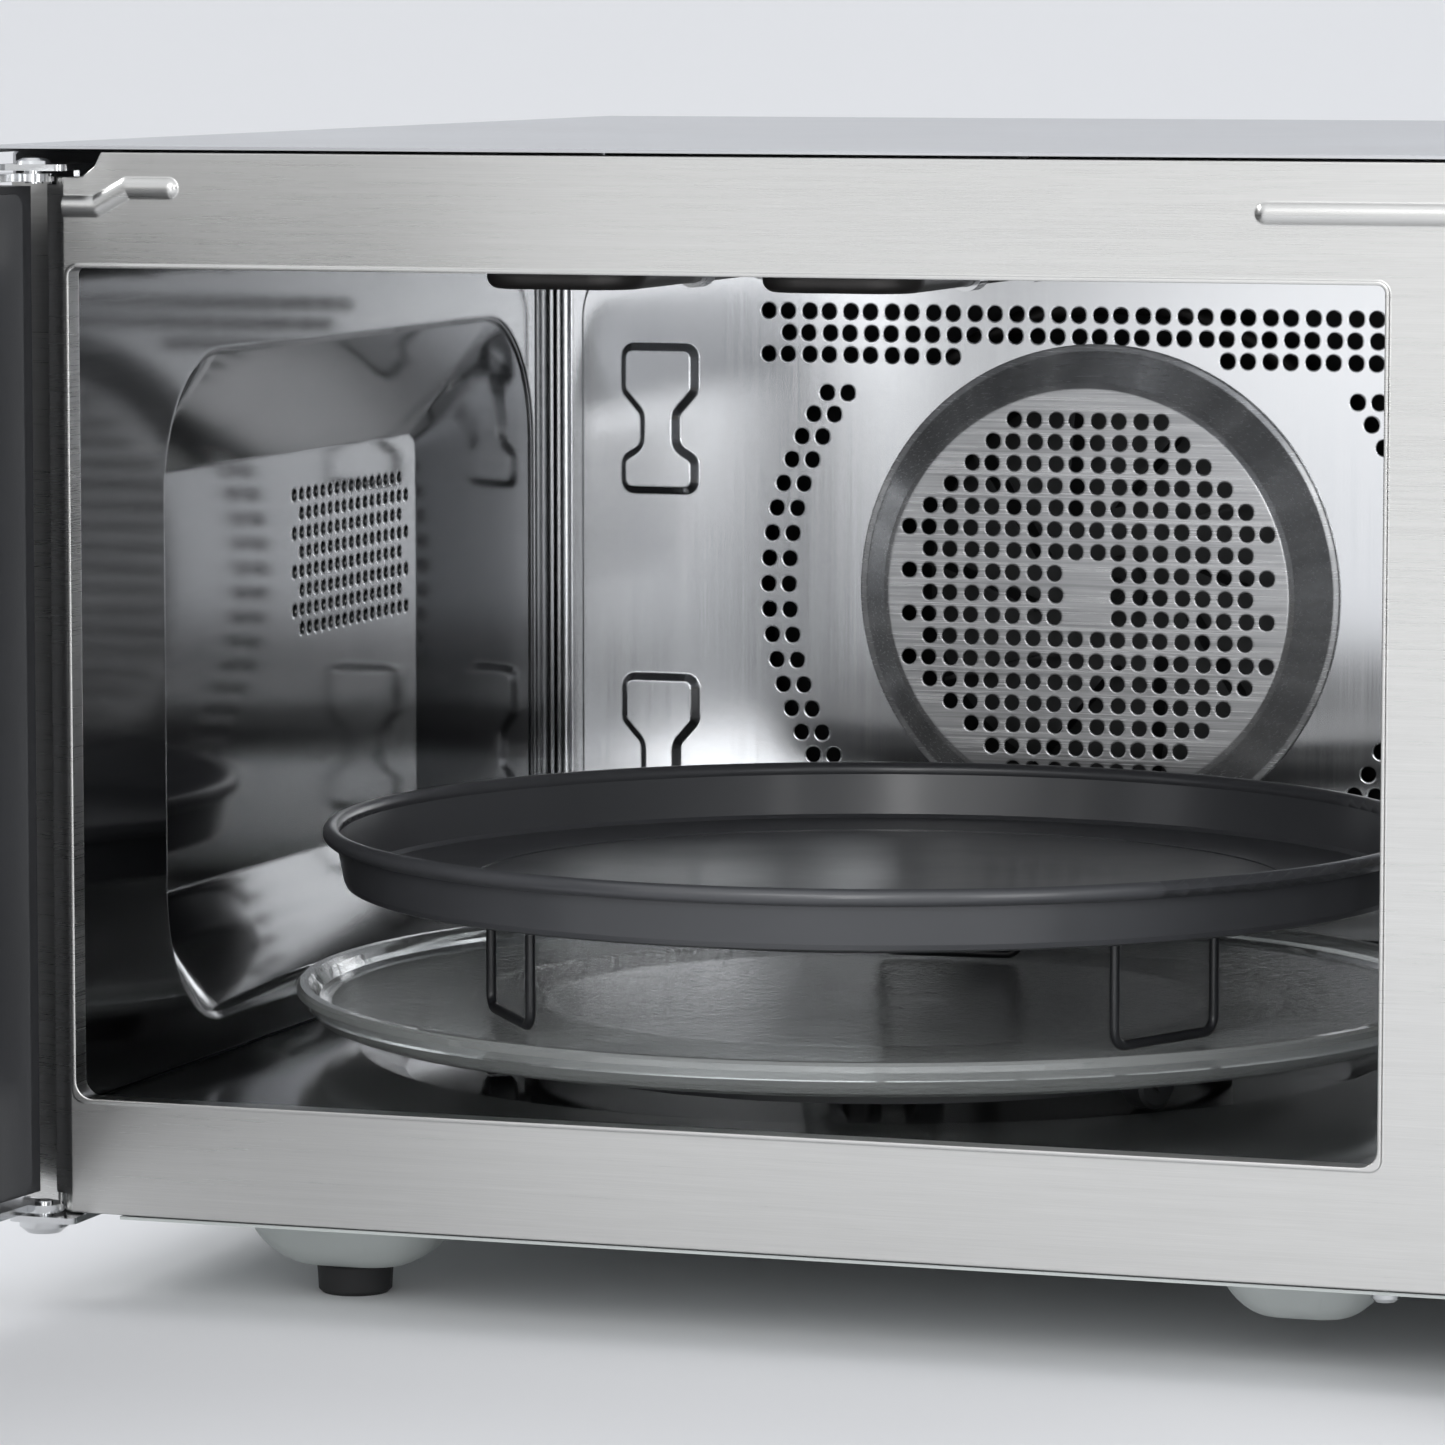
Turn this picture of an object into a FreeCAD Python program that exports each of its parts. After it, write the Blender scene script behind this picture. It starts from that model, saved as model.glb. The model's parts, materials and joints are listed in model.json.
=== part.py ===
import FreeCAD, Part
import math
import os

# Combination microwave oven with a turntable, a grill element and a hot-air fan.
# Millimetres, +Z up, +X to the right seen from the front, the front faces -Y.
# Everything is drawn about the middle of the cabinet, at floor level, and save() then
# moves it so that the origin is the middle of the front left foot's pad on the floor.
# The door is modelled standing open; DOOR_OPEN is its angle from shut.

V = FreeCAD.Vector
os.makedirs("parts", exist_ok=True)

# ---- driving dimensions ----------------------------------------------------
CABINET_W = 520.0
CABINET_D = 468.0
CABINET_TOP = 298.8
BASE_Z = 25.0               # underside of the cabinet, above the floor
SHEET = 0.8                 # steel sheet
X_LEFT = -CABINET_W / 2
X_RIGHT = CABINET_W / 2
Y_FRONT = -CABINET_D / 2    # front face of the stainless frame
Y_REAR = CABINET_D / 2
PANEL_Y = Y_REAR - 1.6      # inner face of the rear panel
FRAME_T = 1.0
FRAME_TOP = 297.2

OPEN_X0 = -234.8            # cooking opening in the front frame
OPEN_X1 = 106.0
OPEN_Z0 = 56.0
OPEN_Z1 = 268.0
OPEN_R_TOP = 2.0
OPEN_R_LOW = 4.6
LIP = 1.0                   # rolled edge round the opening

CAV_X0 = OPEN_X0 - 0.6      # inside faces of the cooking cavity
CAV_X1 = OPEN_X1
CAV_Y1 = 122.3
CAV_Z0 = 54.0
CAV_Z1 = 270.0
CAV_Y0 = Y_FRONT + 6.2

FAN_X = -65.2               # hot-air fan axis
FAN_Z = 162.0
PERF_PITCH = 6.4
PERF_R = 2.25
ARC_R = 99.0                # arcs of hole pairs either side of the fan
ARC_STEP = 4.42             # degrees from pair to pair
COVER_R = 73.0
COVER_FACE_R = 60.7
COVER_RISE = 13.0

TABLE_X = -74.5             # turntable axis
TABLE_Y = -61.5
PLATE_R = 157.5
PLATE_Z = 62.0
PLATE_T = 4.6
PLATE_RIM_TOP = 71.8
WELL_Z = 48.0               # sunken track for the roller ring
WELL_R = 128.0
ROLLER_R = 6.7
ROLLER_Z = WELL_Z + 7.0     # roller axles
ROLLER_TRACK_R = 104.0
TRAY_R = 150.3
TRAY_Z = 97.8
TRAY_RIM_Z = 112.2
TRAY_T = 0.9
TRAY_BEAD_R = 2.3
WIRE_R = 1.4
RACK_LEG_R = 103.0
RACK_HUB_R = 24.0
RACK_SHIFT = V(5.1, -19.5, 0)
RACK_TURN = 95.5            # direction of the rear leg, degrees

HINGE_X = -243.8            # door hinge axis
HINGE_Y = -235.0
DOOR_OPEN = 95.0
DOOR_GAP = 2.5              # shut door to front frame
DOOR_X0 = -259.0
DOOR_X1 = 145.0
DOOR_Z0 = 29.0
DOOR_Z1 = 289.6
DOOR_T = 34.0
HINGE_RECESS_X = -236.9     # the frame folds back left of here
PLATE_LOBE_R = 5.2          # round end of a door plate about its pin

DOOR_IN = Y_FRONT - DOOR_GAP        # face towards the oven when shut
DOOR_OUT = DOOR_IN - DOOR_T
WIN_X0 = -196.0             # punched screen in the door
WIN_X1 = 70.0
WIN_Z0 = 92.0
WIN_Z1 = 232.0
LATCH_X = 129.0             # line of the door hooks
HANDLE_X = 123.0
LATCH_Z = (86.0, 240.0)     # heights of the two door hooks
HINGE_UP_Z = 292.6
HINGE_LOW_Z = 24.4
PIN_R = 2.4
PIN_BORE_R = 2.45
PIN_REACH = 4.9             # through the bracket and the door plate

PANEL_X0 = 148.0            # control panel
KNOB_X = 204.0
KNOB_Z = 92.0
DISPLAY = (160.0, 248.0, 232.0, 268.0)
BUTTONS = (("menu_button", 182.0, 196.0), ("stop_button", 226.0, 196.0),
           ("start_button", 204.0, 160.0))

COVER_ROWS = [4, 5, 6, 7, 8, 9, 8, 9, 8, 9, 8, 9, 8, 7, 6, 5, 4]    # half rows of holes
POCKET_DEEP = 14.0          # recess in the left wall
HOUSING_Y1 = 164.0          # rear of the hot-air housing
ELEMENT_Z = 261.6           # grill element
ELEMENT_FRONT = -100.0
ELEMENT_LEGS = (-172.0, -134.0, -94.0, -56.0)
ELEMENT_ENDS = (ELEMENT_LEGS[0], ELEMENT_LEGS[3])
MAGNETRON_Y = 76.0
MAGNETRON_Z = 130.0
CAPACITOR = (166.0, -138.0)
TRANSFORMER = (132.0, -70.0)
COOL_X = 188.0              # cooling fan
COOL_Y = 178.0
COOL_Z = 132.0
INLET_X = 206.0             # supply inlet in the rear panel
INLET_Z = 70.0
INLET_R = 9.4
# Pressed pads under the base: x, y, height, size, and whether a rubber foot stands on it.
BOSSES = [(-180.0, -180.0, 17.0, 1.0, True), (78.0, -191.0, 13.6, 0.76, False),
          (196.0, -170.0, 17.0, 1.0, True), (-180.0, 176.0, 17.0, 1.0, True),
          (196.0, 176.0, 17.0, 1.0, True)]
BOSS_PROFILE = ((0.0, 1.16), (0.10, 1.06), (0.34, 0.97), (0.66, 0.84), (0.90, 0.66), (1.0, 0.48))
SCREW_BORE_R = 1.9
FRONT_LEFT_FOOT = V(BOSSES[0][0], BOSSES[0][1], 0)
REAR_SCREWS = [(x, z) for z in (44.0, 160.0, 286.0) for x in (X_LEFT + 10, X_RIGHT - 10)]
REAR_SCREWS += [(-120.0, 286.0), (120.0, 286.0)]
FRONT_SCREWS = [(107.3, Y_FRONT + 4.4), (226.0, Y_FRONT + 4.4)]      # up through the base


# ---- small helpers ---------------------------------------------------------
def box(x0, x1, y0, y1, z0, z1):
    return Part.makeBox(x1 - x0, y1 - y0, z1 - z0, V(x0, y0, z0))


def rod(start, end, radius):
    along = end - start
    return Part.makeCylinder(radius, along.Length, start, along)


def fuse(shapes):
    joined = shapes[0].fuse(shapes[1:]) if len(shapes) > 1 else shapes[0]
    return joined.removeSplitter()


def cut(shape, tools):
    return shape.cut(tools)


def moved(shape, by):
    copy = shape.copy()
    copy.translate(by)
    return copy


def turned(shape, centre, axis, degrees):
    copy = shape.copy()
    copy.rotate(centre, axis, degrees)
    return copy


def place_xz(u, v, y):
    return V(u, y, v)


def place_yz(u, v, x):
    return V(x, u, v)


def place_xy(u, v, z):
    return V(u, v, z)


def rounded_wire(u0, u1, v0, v1, radius, place, level):
    """Closed rectangle with round corners, in the plane that place() gives."""
    half = radius * math.sqrt(0.5)
    corners = [(u1 - radius, v1 - radius, 1, 1), (u0 + radius, v1 - radius, -1, 1),
               (u0 + radius, v0 + radius, -1, -1), (u1 - radius, v0 + radius, 1, -1)]
    arcs = []
    for index, (cu, cv, su, sv) in enumerate(corners):
        side = place(cu + su * radius, cv, level)
        cap = place(cu, cv + sv * radius, level)
        mid = place(cu + su * half, cv + sv * half, level)
        first, last = (side, cap) if index % 2 == 0 else (cap, side)
        arcs.append((first, mid, last))
    edges = []
    for index, (first, mid, last) in enumerate(arcs):
        edges.append(Part.Arc(first, mid, last).toShape())
        edges.append(Part.makeLine(last, arcs[(index + 1) % 4][0]))
    return Part.Wire(edges)


def slab_xz(u0, u1, v0, v1, radius, y0, y1):
    wire = rounded_wire(u0, u1, v0, v1, radius, place_xz, y0)
    return Part.Face(wire).extrude(V(0, y1 - y0, 0))


def slab_yz(u0, u1, v0, v1, radius, x0, x1):
    wire = rounded_wire(u0, u1, v0, v1, radius, place_yz, x0)
    return Part.Face(wire).extrude(V(x1 - x0, 0, 0))


def slab_xy(u0, u1, v0, v1, radius, z0, z1):
    wire = rounded_wire(u0, u1, v0, v1, radius, place_xy, z0)
    return Part.Face(wire).extrude(V(0, 0, z1 - z0))


def circle_wire(centre, normal, radius):
    return Part.Wire(Part.Circle(centre, normal, radius).toShape())


def punched(outline, holes, thickness):
    """Sheet from one outline wire and its hole wires."""
    return Part.Face([outline] + holes, "Part::FaceMakerBullseye").extrude(thickness)


def ring(centre, axis, outer, inner, height):
    return Part.makeCylinder(outer, height, centre, axis).cut(
        Part.makeCylinder(inner, height, centre, axis))


def lathe(profile, centre, axis=V(0, 0, 1)):
    """Solid of revolution; profile is (radius, height) points round the axis."""
    points = [V(r, 0, h) for r, h in profile]
    face = Part.Face(Part.makePolygon(points + [points[0]]))
    solid = face.revolve(V(0, 0, 0), V(0, 0, 1), 360)
    turn = FreeCAD.Rotation(V(0, 0, 1), axis)
    solid.Placement = FreeCAD.Placement(centre, turn)
    return solid


def folded_sheet(points, thickness, place, level, along):
    """Sheet bent along an open outline and drawn out along a vector."""
    path = Part.makePolygon([place(u, v, level) for u, v in points])
    face = path.makeOffset2D(thickness, 2, True, True)
    return face.extrude(along)


def tube(points, radius, bend):
    """Round bar through points, with an arc of radius bend at each corner."""
    edges = []
    start = points[0]
    for before, corner, after in zip(points, points[1:], points[2:]):
        into = (corner - before).normalize()
        out = (after - corner).normalize()
        half = into.getAngle(out) / 2
        reach = bend * math.tan(half)
        first = corner - into * reach
        last = corner + out * reach
        bisector = (out - into).normalize()
        mid = corner + bisector * (bend / math.cos(half) - bend)
        edges.append(Part.makeLine(start, first))
        edges.append(Part.Arc(first, mid, last).toShape())
        start = last
    edges.append(Part.makeLine(start, points[-1]))
    spine = Part.Wire(edges)
    tangent = (points[1] - points[0]).normalize()
    section = circle_wire(points[0], tangent, radius)
    return spine.makePipeShell([section], True, False)


def screw(seat, out, head_r=3.6, head_h=2.2, shank_r=1.8, shank_l=7.0):
    """Pan-head screw: seat is the underside of the head, out is away from the work."""
    profile = [(0, -shank_l), (shank_r, -shank_l), (shank_r, 0), (head_r, 0),
               (head_r, head_h * 0.45), (head_r * 0.7, head_h * 0.9), (0, head_h)]
    body = lathe(profile, seat, out)
    turn = FreeCAD.Rotation(V(0, 0, 1), out)
    slots = []
    for size in ((head_r * 1.3, 0.8), (0.8, head_r * 1.3)):
        slot = Part.makeBox(size[0], size[1], head_h, V(-size[0] / 2, -size[1] / 2, head_h * 0.45))
        slot.Placement = FreeCAD.Placement(seat, turn)
        slots.append(slot)
    return body.cut(slots)


def swing_door(shape):
    """Turns a shape drawn on the shut door to where the open door is."""
    return turned(shape, V(HINGE_X, HINGE_Y, 0), V(0, 0, 1), -DOOR_OPEN)


def save(name, shapes):
    solids = shapes if isinstance(shapes, list) else [shapes]
    solids = [solid for shape in solids for solid in shape.Solids]
    result = solids[0] if len(solids) == 1 else Part.makeCompound(solids)
    result = moved(result, -FRONT_LEFT_FOOT)
    if not result.isValid():
        print("not valid:", name)
    result.exportStep("parts/" + name + ".step")


# ---- cabinet ---------------------------------------------------------------
def pressed_rib(points):
    """Half-round stiffening rib, raised from the front face along points (x, z)."""
    radius = 3.3
    rise = 1.4
    y = Y_FRONT + radius - rise
    bars = [Part.makeSphere(radius, V(x, y, z)) for x, z in points]
    for (x0, z0), (x1, z1) in zip(points, points[1:]):
        bars.append(rod(V(x0, y, z0), V(x1, y, z1), radius))
    reach = box(HINGE_RECESS_X + 0.5, X_RIGHT, Y_FRONT - rise - 1, Y_FRONT + 0.4, BASE_Z, FRAME_TOP)
    return fuse(bars).common(reach)


def front_frame():
    """Stainless face with the opening, pressed ribs and a fold at the hinge side."""
    y = Y_FRONT
    side = X_RIGHT - 0.9
    bottom = BASE_Z + 1.4
    fold = [(side, y + 14), (side, y), (HINGE_RECESS_X + 0.6, y), (HINGE_RECESS_X, y + 0.4),
            (HINGE_RECESS_X - 4.9, y + 2.7), (HINGE_RECESS_X - 5.9, y + 6.4),
            (HINGE_RECESS_X - 6.3, y + 13.0), (X_LEFT + 1.0, y + 19), (X_LEFT + 1.0, y + 30)]
    face = folded_sheet(fold, FRAME_T, place_xy, bottom, V(0, 0, FRAME_TOP - bottom))
    top_lip = box(HINGE_RECESS_X + 8, side - 4, y, y + 12, FRAME_TOP - FRAME_T, FRAME_TOP)
    low_lip = box(-216.0, side - 20, y, y + 12, bottom, bottom + FRAME_T)
    corner = box(side - 3.6, side + 2, y - 1, y + 16, FRAME_TOP - 3.6, FRAME_TOP + 1)
    lip_out = slab_xz(OPEN_X0 - LIP, OPEN_X1 + LIP, OPEN_Z0 - LIP, OPEN_Z1 + LIP, OPEN_R_TOP + LIP,
                      y - 0.5, y + 6)
    hole = slab_xz(OPEN_X0, OPEN_X1, OPEN_Z0, OPEN_Z1, OPEN_R_LOW, y - 2, y + 8)
    upper_hole = slab_xz(OPEN_X0, OPEN_X1, OPEN_Z0 + 20, OPEN_Z1, OPEN_R_TOP, y - 2, y + 8)
    ribs = [pressed_rib([(76.6, 284.8), (140.0, 284.8)]),
            pressed_rib([(HINGE_RECESS_X, 283.6), (-227.2, 283.6), (-218.7, 288.3), (-207.4, 288.3)])]
    notch = Part.Face(Part.makePolygon([
        V(X_LEFT - 5, y - 5, 291.0), V(-231.0, y - 5, 291.0), V(-227.6, y - 5, 293.6),
        V(-225.4, y - 5, 297.8), V(X_LEFT - 5, y - 5, 297.8), V(X_LEFT - 5, y - 5, 291.0),
        ])).extrude(V(0, 40, 0))
    slots = [box(LATCH_X - 6, LATCH_X + 6, y - 2, y + 3, z - 13, z + 13) for z in LATCH_Z]
    bores = [rod(V(x, at, BASE_Z), V(x, at, BASE_Z + 5), SCREW_BORE_R) for x, at in FRONT_SCREWS]
    reliefs = [Part.makeCylinder(PLATE_LOBE_R + 0.6, 6, V(HINGE_X, HINGE_Y, z))
               for z in (BASE_Z, DOOR_Z1 - 0.6)]
    body = fuse([face, top_lip, low_lip, lip_out] + ribs)
    return cut(body, [hole, upper_hole, notch, corner] + slots + bores + reliefs)


def outer_cover():
    """One sheet folded over the sides and top, slotted at the rear of each side."""
    inset = 0.9
    path = [(X_LEFT, BASE_Z), (X_LEFT, CABINET_TOP - 2.5), (X_LEFT + 2.5, CABINET_TOP),
            (X_RIGHT - 2.5, CABINET_TOP), (X_RIGHT, CABINET_TOP - 2.5), (X_RIGHT, BASE_Z)]
    depth = CABINET_D + 0.6
    cover = folded_sheet(path, -SHEET, place_xz, Y_FRONT - 0.6, V(0, depth, 0))
    swing = box(X_LEFT - 1, X_LEFT + 2, Y_FRONT - 1, Y_FRONT + 22, BASE_Z - 1, FRAME_TOP - 0.4)
    vents = []
    for column in range(12):
        for row in range(6):
            y = 96.0 + column * 9.0
            z = 80.0 + row * 12.0
            vents.append(box(X_RIGHT - 2, X_RIGHT + 2, y, y + 3.2, z, z + 8.0))
    return cut(cover, [swing] + vents)


def base_boss(x, y, height, size, inset):
    """Dished pad pressed down out of the base, drawn inset from its outer surface."""
    half_x = 28 * size - inset
    half_y = 21 * size - inset
    top = BASE_Z + SHEET + inset
    drop = height + SHEET
    wires = []
    for depth, scale in BOSS_PROFILE:
        wires.append(rounded_wire(x - half_x * scale, x + half_x * scale, y - half_y * scale,
                                  y + half_y * scale, half_y * scale * 0.8, place_xy,
                                  top - depth * drop))
    return Part.makeLoft(wires, True, False)


def base_pan():
    floor = box(X_LEFT + 1, X_RIGHT - 1, Y_FRONT + 1.2, Y_REAR - 2, BASE_Z, BASE_Z + SHEET)
    flanges = [
        box(X_LEFT + 1, X_LEFT + 1.8, Y_FRONT + 34, Y_REAR - 2, BASE_Z, BASE_Z + 12),
        box(X_RIGHT - 1.8, X_RIGHT - 1, Y_FRONT + 16, Y_REAR - 2, BASE_Z, BASE_Z + 12),
    ]
    bosses = [base_boss(x, y, height, size, 0) for x, y, height, size, foot in BOSSES]
    hollows = [base_boss(x, y, height, size, SHEET) for x, y, height, size, foot in BOSSES]
    ribs = [slab_xy(-150 + 60 * k, -130 + 60 * k, -120, 130, 9.5, BASE_Z - 2.5, BASE_Z + 0.4)
            for k in range(4)]
    hinge_bay = box(X_LEFT, HINGE_RECESS_X + 2, Y_FRONT, Y_FRONT + 32, BASE_Z - 1, BASE_Z + 2)
    bracket_bay = box(X_LEFT, -223.6, Y_FRONT, Y_FRONT + 14, BASE_Z - 1, BASE_Z + 2)
    vents = []
    for column in range(9):
        for row in range(5):
            x = 128.0 + column * 12.0
            y = -20.0 + row * 20.0
            vents.append(box(x, x + 4.0, y, y + 14.0, BASE_Z - 1, BASE_Z + 2))
    pan = cut(fuse([floor] + bosses), hollows)
    bores = [rod(V(x, y, BASE_Z - 2), V(x, y, BASE_Z + 4), SCREW_BORE_R)
             for x, y in FRONT_SCREWS]
    return cut(fuse([pan] + flanges + ribs), vents + bores + [hinge_bay, bracket_bay])


def rear_panel():
    outline = rounded_wire(X_LEFT + 1.2, X_RIGHT - 1.2, BASE_Z + 1.2, CABINET_TOP - 1.6, 2.0,
                           place_xz, PANEL_Y)
    holes = []
    for column in range(18):
        for row in range(9):
            x = 132.0 + column * 6.4
            z = 180.0 + row * 8.0
            holes.append(circle_wire(V(x, PANEL_Y, z), V(0, 1, 0), 2.2))
    for column in range(22):
        for row in range(3):
            x = -132.0 + column * 6.4
            z = 60.0 + row * 8.0
            holes.append(circle_wire(V(x, PANEL_Y, z), V(0, 1, 0), 2.2))
    holes.append(circle_wire(V(INLET_X, PANEL_Y, INLET_Z), V(0, 1, 0), INLET_R))
    holes += [circle_wire(V(x, PANEL_Y, z), V(0, 1, 0), SCREW_BORE_R) for x, z in REAR_SCREWS]
    sheet = punched(outline, holes, V(0, SHEET, 0))
    bulge = slab_xz(FAN_X - 78, FAN_X + 78, FAN_Z - 70, FAN_Z + 78, 16, Y_REAR - 1.2, Y_REAR + 3.0)
    hollow = slab_xz(FAN_X - 77, FAN_X + 77, FAN_Z - 69, FAN_Z + 77, 15, Y_REAR - 2, Y_REAR + 2.2)
    return cut(fuse([sheet, bulge]), [hollow])


def cord_gland():
    """Moulded bush in the rear panel where the supply lead enters."""
    body = lathe([(4.2, -8), (8.6, -8), (8.6, -3.2), (INLET_R - 0.2, -2.4), (INLET_R - 0.2, 0.8),
                  (INLET_R + 2.4, 0.8), (INLET_R + 1.6, 4.4), (4.2, 5.6)],
                 V(INLET_X, PANEL_Y, INLET_Z), V(0, 1, 0))
    return body


def feet():
    parts = []
    for x, y, height, size, foot in BOSSES:
        if not foot:
            continue
        top = BASE_Z - height - 0.1
        parts.append(lathe([(0, 0), (8.6, 0), (9.6, 1.0), (10.0, top - 0.6), (9.4, top), (0, top)],
                           V(x, y, 0)))
    return parts


def hinge_bracket(z, up):
    """Folded steel tongue that stands out of the frame and carries the door pin."""
    tongue = slab_xy(HINGE_X - 7.5, HINGE_X + 11.0, HINGE_Y - 6.5, Y_FRONT + 13, 2.5, z, z + 1.6)
    low, high = (z - 16, z + 1.6) if up else (z, z + 17.6)
    foot_low, foot_high = (low, z - 2.4) if up else (z + 2.0, high)
    leg = box(HINGE_X + 9.4, HINGE_X + 11.0, Y_FRONT + 2.6, Y_FRONT + 13, low, high)
    foot = box(HINGE_X + 9.4, HINGE_X + 26, Y_FRONT + 1.4, Y_FRONT + 3.0, foot_low, foot_high)
    bracket = fuse([tongue, leg, foot])
    hole = Part.makeCylinder(PIN_BORE_R, 6, V(HINGE_X, HINGE_Y, z - 2))
    return cut(bracket, [hole])


def hinge_rivet():
    """Upper door pin: domed rivet, its shank turning in the door plate."""
    z = HINGE_UP_Z + 1.6
    head = lathe([(0, 0), (4.6, 0), (4.3, 0.8), (2.8, 1.5), (0, 1.8)], V(HINGE_X, HINGE_Y, z))
    shank = Part.makeCylinder(PIN_R, PIN_REACH, V(HINGE_X, HINGE_Y, z - PIN_REACH))
    return fuse([head, shank])


def hinge_screw():
    """Lower door pin: shouldered pan-head screw driven up from below."""
    pin = screw(V(HINGE_X, HINGE_Y, HINGE_LOW_Z), V(0, 0, -1), head_r=6.3, head_h=3.6,
                shank_r=PIN_R, shank_l=PIN_REACH)
    return pin


# ---- cooking cavity --------------------------------------------------------
def pocket_wires(grow):
    """Mouth and floor outlines of the recess in the left wall."""
    mouth = rounded_wire(-173 - grow, 104 + grow, 63.6 - grow, 243 + grow, 38 + grow,
                         place_yz, CAV_X0)
    floor = rounded_wire(-163 - grow, 43 + grow, 97 - grow, 210 + grow, 6 + grow,
                         place_yz, CAV_X0 - POCKET_DEEP - grow)
    return mouth, floor


def cavity_left_wall():
    outline = rounded_wire(CAV_Y0 + 0.2, CAV_Y1 - 0.2, CAV_Z0 + 0.2, CAV_Z1 - 0.2, 1.0,
                           place_yz, CAV_X0 - SHEET)
    sheet = Part.Face(outline).extrude(V(SHEET, 0, 0))
    mouth, floor = pocket_wires(0)
    shell = Part.makeLoft([mouth, floor], True, True)
    outer_mouth, outer_floor = pocket_wires(SHEET)
    outer = Part.makeLoft([outer_mouth, outer_floor], True, True)
    hollow = shell.fuse(slab_yz(-172.9, 103.9, 63.7, 242.9, 37.9, CAV_X0 - 0.3, CAV_X0 + 1))
    seam = rod(V(CAV_X0 - 0.3, 106.6, CAV_Z0 + 1), V(CAV_X0 - 0.3, 106.6, CAV_Z1 - 1), 0.7)
    wall = cut(fuse([sheet, outer, seam]), [hollow])
    holes = []
    for row in range(8):
        for column in range(1 - row % 2, 17 - row % 2):
            y = -49.9 + column * 5.32
            z = 160.1 + row * 5.4
            holes.append(Part.makeCylinder(1.45, 4, V(CAV_X0 - POCKET_DEEP - 2, y, z), V(1, 0, 0)))
    return cut(wall, holes)


def cavity_right_wall():
    outline = rounded_wire(CAV_Y0 + 0.2, CAV_Y1 - 0.2, CAV_Z0 + 0.2, CAV_Z1 - 0.2, 1.0,
                           place_yz, CAV_X1)
    holes = []
    for column in range(14):
        for row in range(6):
            centre = V(CAV_X1, -170.0 + column * 5.7, 196.0 + row * 5.7)
            holes.append(circle_wire(centre, V(1, 0, 0), 1.6))
    port = rounded_wire(-58.0, 34.0, 108.0, 152.0, 5.0, place_yz, CAV_X1)
    return punched(outline, holes + [port], V(SHEET, 0, 0))


def cavity_ceiling():
    outline = rounded_wire(CAV_X0 + 0.2, CAV_X1 - 0.2, CAV_Y0 + 0.2, CAV_Y1 - 0.2, 1.0,
                           place_xy, CAV_Z1)
    sheet = Part.Face(outline).extrude(V(0, 0, SHEET))
    dome_out = slab_xy(-185, -44, -112, 70, 12, CAV_Z1, CAV_Z1 + 10.8)
    dome_in = slab_xy(-184.2, -44.8, -111.2, 69.2, 11.2, CAV_Z1 - 1, CAV_Z1 + 10)
    terminals = [rod(V(x, 60, CAV_Z1 + 8), V(x, 60, CAV_Z1 + 12), 3.55) for x in ELEMENT_ENDS]
    return cut(fuse([sheet, dome_out]), [dome_in] + terminals)


def cavity_floor():
    """Floor sheet with the sunken round track and a hole for the drive shaft."""
    sheet = box(CAV_X0 + 0.2, CAV_X1 - 0.2, CAV_Y0 + 0.2, CAV_Y1 - 0.2, CAV_Z0 - SHEET, CAV_Z0)
    centre = V(TABLE_X, TABLE_Y, 0)
    top = CAV_Z0
    low = WELL_Z
    outer = lathe([(0, low - SHEET), (WELL_R + 0.3, low - SHEET), (WELL_R + 12.3, top - SHEET),
                   (WELL_R + 12.3, top), (0, top)], centre)
    inner = lathe([(0, low), (WELL_R, low), (WELL_R + 12, top), (WELL_R + 12, top + 3),
                   (0, top + 3)], centre)
    hub = lathe([(0, low - 1), (16, low - 1), (14, low + 2.2), (0, low + 2.2)], centre)
    bore = Part.makeCylinder(8.2, 12, V(TABLE_X, TABLE_Y, low - 4))
    pan = fuse([cut(fuse([sheet, outer]), [inner]), hub])
    return cut(pan, [bore])


def dog_bone(x, z, width, height, waist):
    """Pressed stiffener: two wide ends and a narrow waist."""
    w = width / 2
    h = height / 2
    n = waist / 2
    outline = [(-w, h), (w, h), (w, h * 0.36), (n, h * 0.06), (n, -h * 0.36), (w, -h * 0.52),
               (w, -h), (-w, -h), (-w, -h * 0.52), (-n, -h * 0.36), (-n, h * 0.06), (-w, h * 0.36)]
    points = [V(x + u, CAV_Y1 + 0.4, z + v) for u, v in outline]
    prism = Part.Face(Part.makePolygon(points + [points[0]])).extrude(V(0, -2.8, 0))
    upright = [edge for edge in prism.Edges if abs(edge.tangentAt(edge.FirstParameter).y) > 0.9]
    prism = prism.makeFillet(4.0, upright)
    front = [edge for edge in prism.Edges if edge.BoundBox.YMax < CAV_Y1 - 2.3]
    return prism.makeChamfer(1.9, front)


def perforation_offset(column, row):
    sign = -1 if (column + row) % 2 else 1
    return 0.03 * sign


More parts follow.
